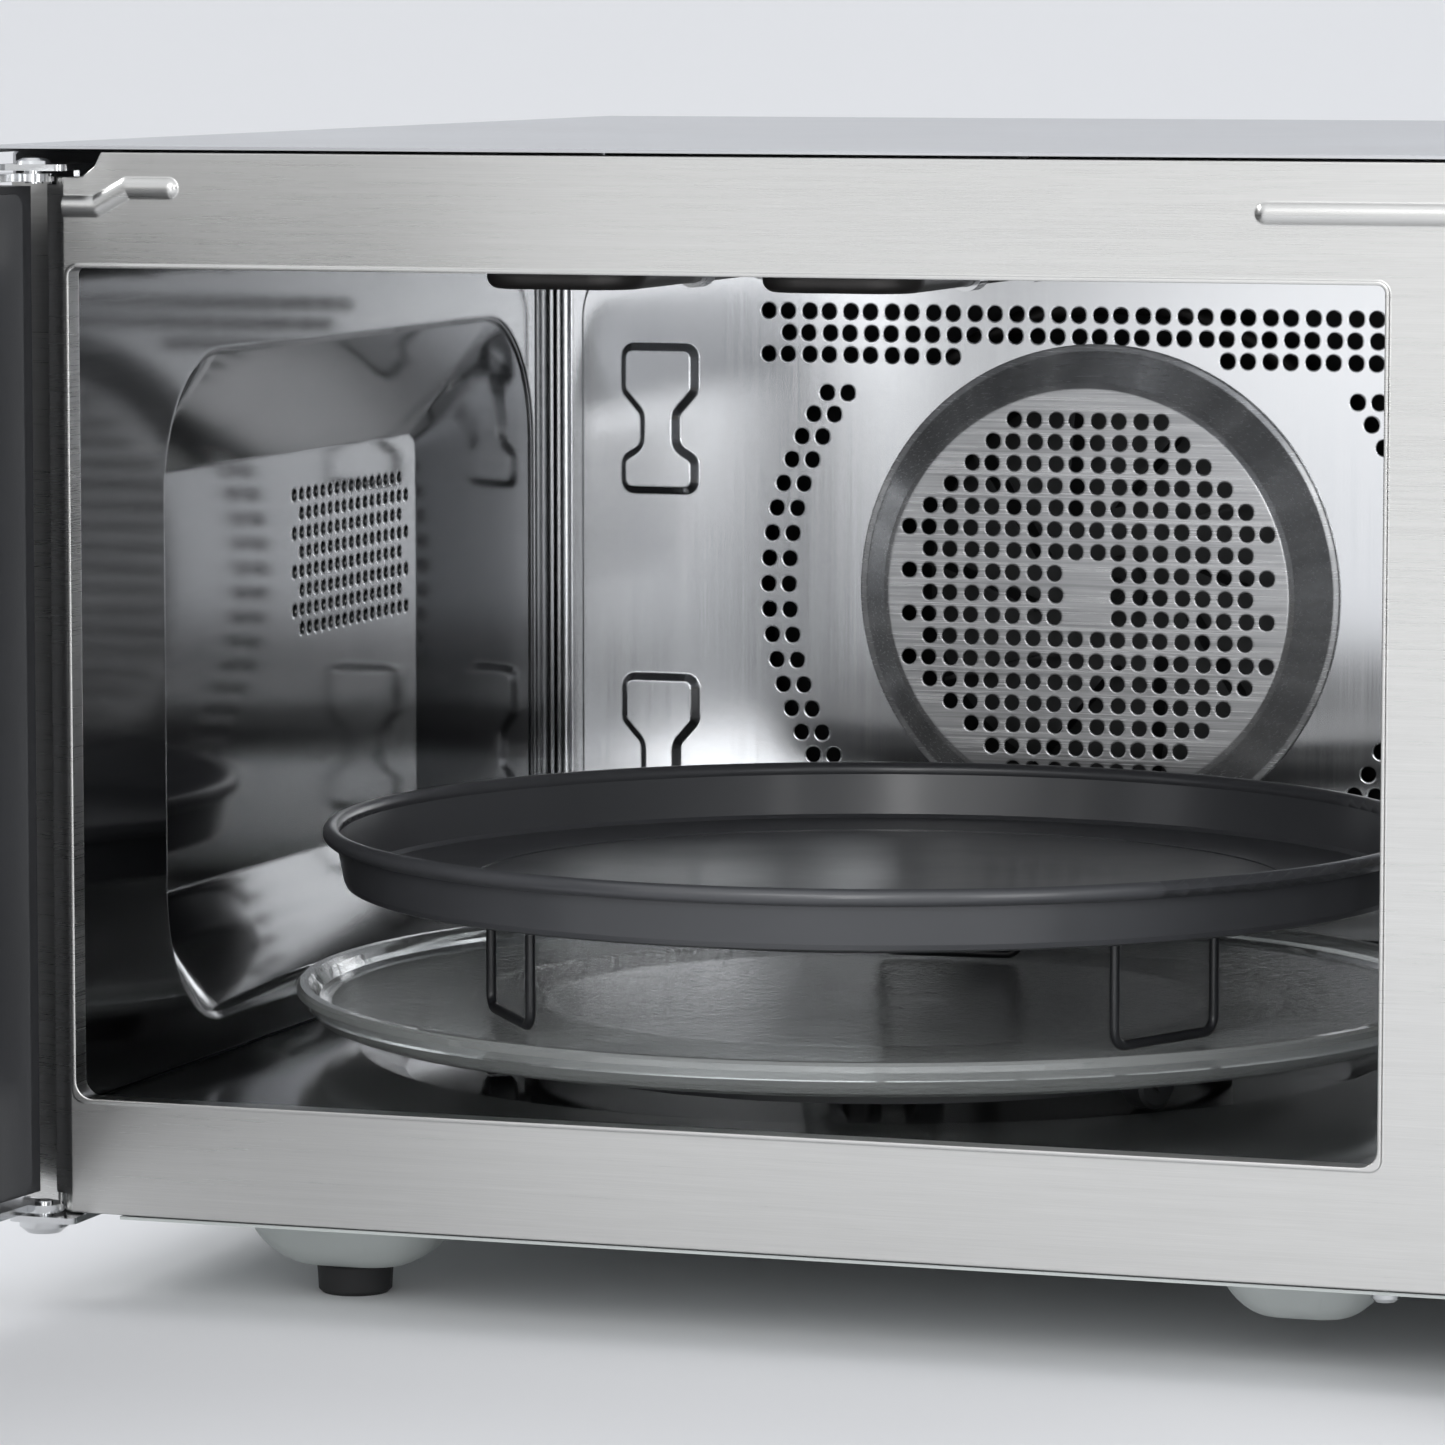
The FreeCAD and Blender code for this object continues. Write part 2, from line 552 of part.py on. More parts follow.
def cavity_back_wall():
    y = CAV_Y1
    centres = []
    for row, first, last in ((0, -16, 16), (1, -15, 15), (2, -16, -7), (2, 6, 16)):
        for column in range(first, last + 1):
            x = FAN_X + (column + perforation_offset(column, row)) * PERF_PITCH
            centres.append((x, FAN_Z + 81.4 - row * PERF_PITCH))
    for step in range(-8, 9):
        angle = math.radians(step * ARC_STEP)
        for side in (-1, 1):
            for half in (-0.5, 0.5):
                x = FAN_X + side * ARC_R * math.cos(angle) + half * PERF_PITCH
                centres.append((x, FAN_Z + ARC_R * math.sin(angle)))
    holes = [circle_wire(V(x, y, z), V(0, 1, 0), PERF_R) for x, z in centres]
    holes.append(circle_wire(V(FAN_X, y, FAN_Z), V(0, 1, 0), COVER_R - 7))
    plateau = punched(rounded_wire(CAV_X0 + 9, CAV_X1 - 9, CAV_Z0 + 8, CAV_Z1 - 6, 24,
                                   place_xz, y), holes, V(0, SHEET + 0.4, 0))
    rim_out = rounded_wire(CAV_X0 + 0.2, CAV_X1 - 0.2, CAV_Z0 + 0.2, CAV_Z1 - 0.2, 1.0,
                           place_xz, y + 1.0)
    rim_in = rounded_wire(CAV_X0 + 9.6, CAV_X1 - 9.6, CAV_Z0 + 8.6, CAV_Z1 - 6.6, 23.4,
                          place_xz, y + 1.0)
    rim = punched(rim_out, [rim_in], V(0, SHEET, 0))
    beads = [rod(V(x, y + 1.2, CAV_Z0 + 1), V(x, y + 1.2, CAV_Z1 - 1), 1.6)
             for x in (CAV_X0 + 3.4, CAV_X1 - 3.4)]
    bones = [dog_bone(-201.6, 210.6, 24.2, 44.6, 12.2), dog_bone(-201.4, 111.6, 24.2, 44.6, 12.2)]
    return fuse([plateau, rim] + beads + bones)


def fan_cover():
    """Pressed dish over the hot-air fan with a perforated face."""
    y = CAV_Y1
    face_y = y - COVER_RISE
    face_outline = circle_wire(V(FAN_X, face_y, FAN_Z), V(0, 1, 0), COVER_FACE_R)
    holes = []
    for row, reach in zip(range(-8, 9), COVER_ROWS):
        for column in range(reach):
            if column == 0 and abs(row) <= 1:
                continue
            x = (column + 0.5 + perforation_offset(column, row)) * PERF_PITCH
            for side in (-1, 1):
                centre = V(FAN_X + side * x, face_y, FAN_Z + row * PERF_PITCH)
                holes.append(circle_wire(centre, V(0, 1, 0), PERF_R))
    face = punched(face_outline, holes, V(0, 0.8, 0))
    slope = lathe([(COVER_FACE_R - 0.8, -COVER_RISE), (COVER_FACE_R, -COVER_RISE),
                   (COVER_FACE_R + 1.6, -COVER_RISE + 1.0), (COVER_R - 2.0, -1.5),
                   (COVER_R, -0.9), (COVER_R, -0.1), (COVER_R - 2.6, -0.7),
                   (COVER_FACE_R + 1.0, -COVER_RISE + 1.6), (COVER_FACE_R - 0.8, -COVER_RISE + 0.8)],
                  V(FAN_X, y, FAN_Z), V(0, 1, 0))
    return fuse([face, slope])


def convection_housing():
    """Box behind the rear wall that holds the hot-air fan and its element."""
    y0 = CAV_Y1 + 2.1
    outer = slab_xz(-180, 50, 58, 266, 14, y0, HOUSING_Y1)
    inner = slab_xz(-179.2, 49.2, 58.8, 265.2, 13.2, y0 - 1, HOUSING_Y1 - SHEET)
    bore = Part.makeCylinder(7.0, 10, V(FAN_X, HOUSING_Y1 - 5, FAN_Z), V(0, 1, 0))
    ends = [Part.makeCylinder(3.8, 10, V(x, HOUSING_Y1 - 5, FAN_Z - 82.05), V(0, 1, 0))
            for x in (FAN_X - 18, FAN_X + 18)]
    return cut(outer, [inner, bore] + ends)


def ring_element():
    """Sheathed heater: one loop round the fan with two straight terminals."""
    y = CAV_Y1 + 22
    loop_r = 84.0
    gap = 18.0
    low = math.sqrt(loop_r ** 2 - gap ** 2)
    half_gap = math.degrees(math.asin(gap / loop_r))
    axis = V(0, 1, 0)
    centre = V(FAN_X, y, FAN_Z)
    loop = Part.makeTorus(loop_r, 3.2, centre, axis, -180, 180, 360 - 2 * half_gap)
    middle = loop.CenterOfMass - centre
    loop = turned(loop, centre, axis, math.degrees(math.atan2(middle.z, middle.x)) - 90)
    tails = [rod(V(FAN_X + side * gap, y - 3.0, FAN_Z - low),
                 V(FAN_X + side * gap, HOUSING_Y1 + 10, FAN_Z - low), 3.3) for side in (-1, 1)]
    return fuse([loop] + tails)


def grill_element():
    """Sheathed ceiling element bent into an M, with its ends up through the ceiling."""
    z = ELEMENT_Z
    x0, x1, x2, x3 = ELEMENT_LEGS
    points = [V(x0, 60, CAV_Z1 + 16), V(x0, 60, z), V(x0, ELEMENT_FRONT, z), V(x1, ELEMENT_FRONT, z),
              V(x1, 52, z), V(x2, 52, z), V(x2, ELEMENT_FRONT, z), V(x3, ELEMENT_FRONT, z),
              V(x3, 60, z), V(x3, 60, CAV_Z1 + 16)]
    return tube(points, 3.25, 9.0)


def element_clips():
    clips = []
    for y in (-40.0, 20.0):
        bar = box(-182, -47, y - 4, y + 4, CAV_Z1 - 1.4, CAV_Z1 - 0.2)
        hooks = [ring(V(x, y - 4, ELEMENT_Z), V(0, 1, 0), 4.6, 3.4, 8) for x in ELEMENT_LEGS]
        posts = [box(x - 1, x + 1, y - 4, y + 4, ELEMENT_Z + 3.8, CAV_Z1 - 1.0) for x in ELEMENT_LEGS]
        clips.append(fuse([bar] + hooks + posts))
    return clips


# ---- turntable, rack and tray ----------------------------------------------
def table_centre(z):
    return V(TABLE_X, TABLE_Y, z)


def turntable_motor():
    can = lathe([(0, 0), (24, 0), (25, 1), (25, 14.5), (24, 15.5), (9, 15.5), (9, 17), (0, 17)],
                table_centre(BASE_Z + 2.0))
    ears = box(TABLE_X - 32, TABLE_X + 32, TABLE_Y - 5, TABLE_Y + 5, BASE_Z + 16.5, BASE_Z + 17.5)
    plug = box(TABLE_X - 6, TABLE_X + 6, TABLE_Y + 22, TABLE_Y + 33, BASE_Z + 4, BASE_Z + 11)
    return fuse([can, ears, plug])


def turntable_coupler():
    """Drive boss on the motor shaft; its three lobes drive the glass plate."""
    shaft = Part.makeCylinder(3.4, 12, table_centre(BASE_Z + 19.3))
    cap = lathe([(0, WELL_Z + 2.6), (11.5, WELL_Z + 2.6), (11.5, PLATE_Z - 6), (9.5, PLATE_Z - 0.4),
                 (0, PLATE_Z - 0.4)], table_centre(0))
    stem = Part.makeCylinder(6.5, WELL_Z - BASE_Z - 17, table_centre(BASE_Z + 20))
    lobes = []
    for k in range(3):
        lobe = slab_xy(TABLE_X + 6, TABLE_X + 18, TABLE_Y - 4, TABLE_Y + 4, 2.5,
                       WELL_Z + 3.0, PLATE_Z - 0.4)
        lobes.append(turned(lobe, table_centre(0), V(0, 0, 1), 120 * k + 30))
    return fuse([shaft, stem, cap] + lobes)


def roller_angle(k):
    return math.radians(120 * k + 90)


def roller_ring():
    z = ROLLER_Z
    band = ring(table_centre(z - 3), V(0, 0, 1), ROLLER_TRACK_R - 8, ROLLER_TRACK_R - 12, 6)
    pins = []
    for k in range(3):
        out = V(math.cos(roller_angle(k)), math.sin(roller_angle(k)), 0)
        centre = table_centre(z)
        pins.append(rod(centre + out * (ROLLER_TRACK_R - 10), centre + out * (ROLLER_TRACK_R + 5.5),
                        2.0))
    return fuse([band] + pins)


def roller(k):
    out = V(math.cos(roller_angle(k)), math.sin(roller_angle(k)), 0)
    wheel = lathe([(2.06, -4.2), (5.6, -4.2), (ROLLER_R, -3.2), (ROLLER_R, 3.2), (5.6, 4.2),
                   (2.06, 4.2)], table_centre(ROLLER_Z) + out * ROLLER_TRACK_R, out)
    return wheel


def glass_turntable():
    r = PLATE_R
    z = PLATE_Z
    t = PLATE_T
    plate = lathe([(0, z), (r - 9, z), (r - 5.5, z + 1.2), (r - 1.6, z + 5.2), (r, PLATE_RIM_TOP - 2.4),
                   (r, PLATE_RIM_TOP - 0.8), (r - 0.9, PLATE_RIM_TOP), (r - 3.2, PLATE_RIM_TOP),
                   (r - 4.4, PLATE_RIM_TOP - 1.2), (r - 6.2, z + t + 1.2), (r - 9.5, z + t),
                   (r - 46, z + t), (r - 48, z + t - 0.6), (0, z + t - 0.6)], table_centre(0))
    track = ring(table_centre(z - 0.35), V(0, 0, 1), ROLLER_TRACK_R + 9, ROLLER_TRACK_R + 7, 1)
    lugs = []
    for k in range(3):
        lug = slab_xy(TABLE_X + 13, TABLE_X + 21, TABLE_Y - 2.6, TABLE_Y + 2.6, 1.5, z - 4.5, z + 1)
        lugs.append(turned(lug, table_centre(0), V(0, 0, 1), 120 * k + 62))
    return fuse([plate, track] + lugs)


def wire_rack():
    """Trivet of round wire: a ring, a cross bar and three U-shaped legs."""
    centre = table_centre(0) + RACK_SHIFT
    foot_z = PLATE_Z + PLATE_T + WIRE_R + 0.1
    top_z = TRAY_Z - WIRE_R - 0.1
    loop = Part.makeTorus(RACK_LEG_R, WIRE_R, centre + V(0, 0, top_z))
    hub = Part.makeTorus(RACK_HUB_R, WIRE_R, centre + V(0, 0, top_z))
    half = 20.0
    parts = [loop, hub]
    reach = math.sqrt(RACK_LEG_R ** 2 - half ** 2)
    for k in range(3):
        legs = tube([V(reach, -half, top_z - 0.3), V(reach, -half, foot_z), V(reach, half, foot_z),
                     V(reach, half, top_z - 0.3)], WIRE_R - 0.06, 4.0)
        legs.translate(centre)
        parts.append(turned(legs, centre, V(0, 0, 1), RACK_TURN + 120 * k))
    for k in range(3):
        spoke = rod(centre + V(RACK_HUB_R, 0, top_z), centre + V(RACK_LEG_R, 0, top_z),
                    WIRE_R - 0.1)
        parts.append(turned(spoke, centre, V(0, 0, 1), RACK_TURN + 60 + 120 * k))
    return fuse(parts)


def baking_tray():
    wall_r = TRAY_R - 3.6
    bead_r = TRAY_R - TRAY_BEAD_R
    bead_z = TRAY_RIM_Z
    low_r = wall_r - 2.0
    bend = 2.0
    pan = lathe([(0, TRAY_Z), (low_r - bend, TRAY_Z), (low_r - bend * 0.3, TRAY_Z + bend * 0.3),
                 (low_r, TRAY_Z + bend), (wall_r + 0.4, bead_z), (wall_r - TRAY_T + 0.4, bead_z),
                 (low_r - TRAY_T, TRAY_Z + bend), (low_r - bend, TRAY_Z + TRAY_T), (0, TRAY_Z + TRAY_T)],
                table_centre(0))
    step = ring(table_centre(TRAY_Z + TRAY_T - 0.1), V(0, 0, 1), 112, 110.4, 0.5)
    bead = Part.makeTorus(bead_r, TRAY_BEAD_R, table_centre(bead_z))
    return fuse([pan, step, bead])


# ---- what works behind the cavity walls ------------------------------------
def convection_fan():
    """Sheet fan with a hub on the motor shaft, in the housing behind the cover."""
    y = CAV_Y1 + 6.0
    disc = ring(V(FAN_X, y + 22, FAN_Z), V(0, 1, 0), 60, 3, 1.0)
    hub = ring(V(FAN_X, y + 12, FAN_Z), V(0, 1, 0), 9, 3.0, 11)
    shaft = Part.makeCylinder(3.05, 46, V(FAN_X, y + 10, FAN_Z), V(0, 1, 0))
    blades = []
    for k in range(10):
        blade = box(FAN_X + 22, FAN_X + 59, y + 6, y + 22.2, FAN_Z - 0.5, FAN_Z + 0.5)
        blade = turned(blade, V(FAN_X + 40, y, FAN_Z), V(0, 1, 0), 22)
        blades.append(turned(blade, V(FAN_X, y, FAN_Z), V(0, 1, 0), 36 * k))
    return fuse([disc, hub, shaft] + blades)


def convection_motor():
    y = HOUSING_Y1 + 6
    core = slab_xz(FAN_X - 30, FAN_X + 30, FAN_Z - 26, FAN_Z + 44, 3, y + 12, y + 34)
    coil = slab_xz(FAN_X - 20, FAN_X + 20, FAN_Z + 22, FAN_Z + 46, 6, y + 6, y + 40)
    rotor = Part.makeCylinder(17, 30, V(FAN_X, y + 8, FAN_Z), V(0, 1, 0))
    bridge = box(FAN_X - 34, FAN_X + 34, y + 6, y + 8, FAN_Z - 10, FAN_Z + 10)
    posts = [rod(V(x, HOUSING_Y1, FAN_Z), V(x, y + 12.5, FAN_Z), 3) for x in (FAN_X - 27, FAN_X + 27)]
    bore = Part.makeCylinder(3.15, 15.5, V(FAN_X, y, FAN_Z), V(0, 1, 0))
    return cut(fuse([core, coil, rotor, bridge] + posts), [bore])


def waveguide():
    """Rectangular duct on the right wall that ends at the feed port."""
    x0 = CAV_X1 + SHEET
    outer = box(x0, x0 + 40, -66, 112, 100, 160)
    inner = box(x0 - 1, x0 + 38.8, -64.8, 110.8, 101.2, 158.8)
    port = Part.makeCylinder(13, 6, V(x0 + 37, MAGNETRON_Y, MAGNETRON_Z), V(1, 0, 0))
    return cut(outer, [inner, port])


def waveguide_cover():
    sheet = slab_yz(-64, 40, 102, 158, 6, CAV_X1 - 0.7, CAV_X1 - 0.1)
    studs = [Part.makeSphere(3.0, V(CAV_X1 - 0.6, y, 130)) for y in (-58, 34)]
    keep = box(CAV_X1 - 4, CAV_X1 - 0.1, -70, 46, 100, 160)
    return fuse([sheet] + [stud.common(keep) for stud in studs])


def magnetron():
    x0 = CAV_X1 + SHEET + 40.2
    y = MAGNETRON_Y
    z = MAGNETRON_Z
    antenna = Part.makeCylinder(7.5, 24, V(x0 - 22, y, z), V(1, 0, 0))
    anode = Part.makeCylinder(20, 50, V(x0 + 4, y, z), V(1, 0, 0))
    fins = [box(x0 + 10 + 6 * k, x0 + 10.8 + 6 * k, y - 36, y + 36, z - 34, z + 34) for k in range(6)]
    yokes = [box(x0, x0 + 1.6, y - 38, y + 38, z - 40, z + 40),
             box(x0 + 48, x0 + 49.6, y - 38, y + 38, z - 40, z + 40),
             box(x0, x0 + 49.6, y - 38, y + 38, z - 40, z - 38.4),
             box(x0, x0 + 49.6, y - 38, y + 38, z + 38.4, z + 40)]
    magnets = [ring(V(x0 + 1, y, z), V(1, 0, 0), 27, 19, 8), ring(V(x0 + 41, y, z), V(1, 0, 0), 27, 19, 8)]
    filter_box = box(x0 + 49, x0 + 76, y - 28, y + 28, z - 24, z + 24)
    return fuse([antenna, anode] + fins + yokes + magnets + [filter_box])


def transformer():
    x0, y0 = TRANSFORMER
    z0 = BASE_Z + 2.0
    core = box(x0, x0 + 66, y0, y0 + 54, z0 + 4, z0 + 70)
    feet_plate = box(x0 - 8, x0 + 74, y0 - 4, y0 + 58, z0, z0 + 4.2)
    primary = slab_xz(x0 + 10, x0 + 56, z0 + 14, z0 + 34, 6, y0 - 14, y0 + 68)
    secondary = slab_xz(x0 + 10, x0 + 56, z0 + 38, z0 + 62, 6, y0 - 14, y0 + 68)
    return fuse([core, feet_plate, primary, secondary])


def capacitor():
    x, y = CAPACITOR
    z = BASE_Z + 3
    can = slab_xy(x - 34, x + 34, y - 16, y + 16, 15, z, z + 92)
    rim = slab_xy(x - 35, x + 35, y - 17, y + 17, 16, z + 90, z + 93.5)
    tabs = [box(x + s - 3, x + s + 3, y - 0.4, y + 0.4, z + 93, z + 104) for s in (-14, 14)]
    return fuse([can, rim] + tabs)


def diode():
    body = Part.makeCylinder(3.4, 15, V(136, -108, BASE_Z + 20), V(0, 1, 0))
    leads = Part.makeCylinder(0.7, 35, V(136, -118, BASE_Z + 20), V(0, 1, 0))
    eye = ring(V(136, -83, BASE_Z + 20), V(1, 0, 0), 4, 2, 0.8)
    return fuse([body, leads, eye])


def fan_shroud():
    """Moulded frame behind the magnetron that carries the cooling fan."""
    y = COOL_Y
    plate = slab_xz(COOL_X - 58, COOL_X + 52, COOL_Z - 52, COOL_Z + 52, 6, y, y + 3)
    hole = Part.makeCylinder(47, 10, V(COOL_X, y - 4, COOL_Z), V(0, 1, 0))
    rim = ring(V(COOL_X, y - 10, COOL_Z), V(0, 1, 0), 49, 47, 22)
    arms = [box(COOL_X - 49, COOL_X + 49, y + 9, y + 12, COOL_Z + s - 3, COOL_Z + s + 3)
            for s in (-17, 17)]
    return fuse([cut(plate, [hole]), rim] + arms)


def cooling_motor():
    y = COOL_Y + 12.2
    core = slab_xz(COOL_X - 24, COOL_X + 24, COOL_Z - 22, COOL_Z + 30, 2, y, y + 16)
    coil = slab_xz(COOL_X - 15, COOL_X + 15, COOL_Z + 12, COOL_Z + 32, 4, y + 0.2, y + 21)
    bore = Part.makeCylinder(2.1, 26, V(COOL_X, y - 2, COOL_Z), V(0, 1, 0))
    return cut(fuse([core, coil]), [bore])


def cooling_fan():
    y = COOL_Y - 8
    hub = ring(V(COOL_X, y, COOL_Z), V(0, 1, 0), 13, 1.9, 14)
    shaft = Part.makeCylinder(2.0, 34, V(COOL_X, y, COOL_Z), V(0, 1, 0))
    blades = []
    for k in range(7):
        blade = box(COOL_X + 11, COOL_X + 44, y + 1, y + 13, COOL_Z - 0.8, COOL_Z + 0.8)
        blade = turned(blade, V(COOL_X, y + 7, COOL_Z), V(1, 0, 0), 40)
        blades.append(turned(blade, V(COOL_X, y, COOL_Z), V(0, 1, 0), 360 / 7 * k))
    return fuse([hub, shaft] + blades)


def cavity_lamp():
    bulb = lathe([(0, 0), (4.5, 1.0), (8.5, 4.2), (10.8, 9.5), (10.2, 15), (7.5, 21), (7.0, 24),
                  (9.0, 24.5), (9.0, 38), (0, 38)], V(CAV_X1 + 7, -143, 212), V(1, 0, 0))
    collar = box(CAV_X1 + 44, CAV_X1 + 46, -160, -126, 198, 226)
    return fuse([bulb, collar])


# ---- door, drawn shut and then swung open ----------------------------------
def door_inner_panel():
    """Steel pan with the punched window screen and a folded choke flange."""
    y = DOOR_IN - 2.6
    plate = slab_xz(-224, 98, 64, 260, 6, y, y + 1.0)
    flange_out = slab_xz(-224, 98, 64, 260, 6, y - 14, y + 0.5)
    flange_in = slab_xz(-223, 97, 65, 259, 5, y - 15, y + 0.1)
    holes = []
    pitch = 7.0
    for column in range(37):
        for row in range(19):
            x = WIN_X0 + 7 + column * pitch
            z = WIN_Z0 + 7 + row * pitch
            holes.append((x, z))
    outline = rounded_wire(WIN_X0, WIN_X1, WIN_Z0, WIN_Z1, 4, place_xz, y)
    screen = punched(outline, [circle_wire(V(x, y, z), V(0, 1, 0), 2.2) for x, z in holes],
                     V(0, 1.0, 0))
    window = slab_xz(WIN_X0, WIN_X1, WIN_Z0, WIN_Z1, 4, y - 1, y + 2)
    return fuse([cut(plate, [window]), screen, cut(flange_out, [flange_in, window])])


def door_choke_cover():
    """Moulded ring that covers the choke round the window, with hook slots."""
    edge = HINGE_X + 3.4
    ring_out = slab_xz(edge, DOOR_X1 - 4, DOOR_Z0 + 3, DOOR_Z1 - 3, 4, DOOR_IN - 1.4, DOOR_IN)
    ring_in = slab_xz(-216, 90, 72, 252, 5, DOOR_IN - 3, DOOR_IN + 1)
    skirt_out = slab_xz(-226.6, 100.6, 61.4, 262.6, 7, DOOR_IN - 13, DOOR_IN - 1.2)
    skirt_in = slab_xz(-224.8, 98.8, 63.2, 260.8, 6, DOOR_IN - 14, DOOR_IN)
    slots = [box(LATCH_X - 4.4, LATCH_X + 4.4, DOOR_IN - 4, DOOR_IN + 1, z - 12.4, z + 12)
             for z in LATCH_Z]
    rib_out = slab_xz(edge + 6, DOOR_X1 - 8, DOOR_Z0 + 10, DOOR_Z1 - 10, 5, DOOR_IN - 3.2, DOOR_IN - 1.2)
    rib_in = slab_xz(edge + 7.4, DOOR_X1 - 9.4, DOOR_Z0 + 11.4, DOOR_Z1 - 11.4, 4, DOOR_IN - 4, DOOR_IN)
    body = fuse([cut(ring_out, [ring_in]), cut(skirt_out, [skirt_in]), cut(rib_out, [rib_in])])
    return cut(body, slots)


def door_inner_glass():
    return slab_xz(-215.6, 89.6, 72.4, 251.6, 4.6, DOOR_IN - 0.7, DOOR_IN - 0.1)


def door_body():
    """Moulded door frame: a deep rim that is cut back round the hinge pin."""
    y0 = DOOR_OUT + 1.2
    y1 = DOOR_IN - 3.4
    rim_out = slab_xz(DOOR_X0 + 1.2, DOOR_X1 - 1.2, DOOR_Z0 + 1.2, DOOR_Z1 - 1.2, 4.2, y0, y1)
    rim_in = box(DOOR_X0 + 28, DOOR_X1 - 6, y0 - 1, y1 + 1, DOOR_Z0 + 6, DOOR_Z1 - 6)
    lip_out = box(DOOR_X0 + 26, DOOR_X1 - 3, y0, y0 + 3, DOOR_Z0 + 3, DOOR_Z1 - 3)
    lip_in = box(-204, 78, y0 - 1, y0 + 4, 84, 240)
    guide = box(LATCH_X - 17, LATCH_X + 8, y0 + 10, y0 + 12, DOOR_Z0 + 4, DOOR_Z1 - 4)
    stop = box(LATCH_X - 4, LATCH_X + 4, y0 + 11.5, y0 + 22, 196, 200)
    chamfer = Part.Face(Part.makePolygon([
        V(DOOR_X0 - 1, DOOR_IN + 2, DOOR_Z0 - 1), V(HINGE_X - 6, DOOR_IN + 2, DOOR_Z0 - 1),
        V(HINGE_X - 6, DOOR_IN - 1, DOOR_Z0 - 1), V(DOOR_X0 - 1, DOOR_OUT + 9, DOOR_Z0 - 1),
        V(DOOR_X0 - 1, DOOR_IN + 2, DOOR_Z0 - 1)])).extrude(V(0, 0, DOOR_Z1 - DOOR_Z0 + 2))
    pins = [Part.makeCylinder(3.0, 7, V(HINGE_X, HINGE_Y, z)) for z in (DOOR_Z0 - 1, DOOR_Z1 - 6)]
    body = fuse([cut(rim_out, [rim_in]), cut(lip_out, [lip_in]), guide, stop])
    return cut(body, [chamfer] + pins)


def door_skin():
    """Stainless outer sheet, folded back at its edges, with the window cut out."""
    y0 = DOOR_OUT
    outer = slab_xz(DOOR_X0, DOOR_X1, DOOR_Z0, DOOR_Z1, 5, y0, y0 + 7.5)
    inner = slab_xz(DOOR_X0 + 0.9, DOOR_X1 - 0.9, DOOR_Z0 + 0.9, DOOR_Z1 - 0.9, 4.1,
                    y0 + 1.0, y0 + 9)
    window = slab_xz(-210, 84, 78, 246, 8, y0 - 1, y0 + 3)
    return cut(outer, [inner, window])


def door_outer_glass():
    pane = slab_xz(-209.6, 83.6, 78.4, 245.6, 7.6, DOOR_OUT + 0.3, DOOR_OUT + 1.15)
    return pane


def door_handle():
    """Upright bar grip on two posts near the opening edge."""
    x = HANDLE_X
    y = DOOR_OUT - 34
    bar = slab_xy(x - 8, x + 8, y - 5, y + 6, 5.2, 62, 257)
    ends = [edge for edge in bar.Edges if edge.BoundBox.ZMax < 62.1 or edge.BoundBox.ZMin > 256.9]
    bar = bar.makeFillet(2.0, ends)
    posts = [slab_xz(x - 6, x + 6, z - 11, z + 11, 5, y + 5, DOOR_OUT - 0.1) for z in (86, 233)]
    return fuse([bar] + posts)


def door_hinge_plates():
    """Plates above and below the door, each with a round end that turns on its pin."""
    plates = []
    for z in (DOOR_Z1 + 0.2, DOOR_Z0 - 2.4):
        arm = slab_xy(HINGE_X - PLATE_LOBE_R, HINGE_X + 56, HINGE_Y - 24, DOOR_IN - 0.3, 1.2, z, z + 2)
        lobe = Part.makeCylinder(PLATE_LOBE_R, 2, V(HINGE_X, HINGE_Y, z))
        bore = Part.makeCylinder(PIN_BORE_R + 0.01, 8, V(HINGE_X, HINGE_Y, z - 3))
        plates.append(cut(fuse([arm, lobe]), [bore]))
    return plates


def latch_hooks():
    """One moulded slider with two hooks that reach through the door to the body."""
    y0 = DOOR_OUT + 1.2 + 12.3
    bar = box(LATCH_X - 4.2, LATCH_X + 4.2, y0, y0 + 4, LATCH_Z[0] - 10, LATCH_Z[1] + 8)
    gap = box(LATCH_X - 6, LATCH_X + 6, y0 - 1, y0 + 9, 186.5, 213.5)
    hooks = []
    tip = Y_FRONT + 15
    for z in LATCH_Z:
        outline = [(y0 + 3, z - 8), (tip - 3, z - 8), (tip, z - 4), (tip, z + 4.4), (tip - 7, z + 4.4),
                   (tip - 7, z - 1), (y0 + 3, z - 1), (y0 + 3, z - 8)]
        side = Part.makePolygon([V(LATCH_X - 3.4, y, at) for y, at in outline])
        hooks.append(Part.Face(side).extrude(V(6.8, 0, 0)))
    low = fuse([bar] + hooks)
    bridge = box(LATCH_X - 4.2, LATCH_X + 4.2, y0 + 10.5, y0 + 12.5, 186, 214)
    ends = [box(LATCH_X - 4.2, LATCH_X + 4.2, y0 + 3, y0 + 12.5, z, z + 3) for z in (183.5, 213.5)]
    return fuse([cut(low, [gap]), bridge] + ends)


def latch_spring():
    """Small compression spring between the door's stop and the slider."""
    y = DOOR_OUT + 1.2 + 16.0
    helix = Part.makeHelix(1.9, 13.0, 2.0)
    section = circle_wire(V(2.0, 0, 0), V(0, 1, 0), 0.35)
    coil = Part.Wire(helix.Edges).makePipeShell([section], True, True)
    coil.translate(V(LATCH_X, y, 200.2))
    return coil


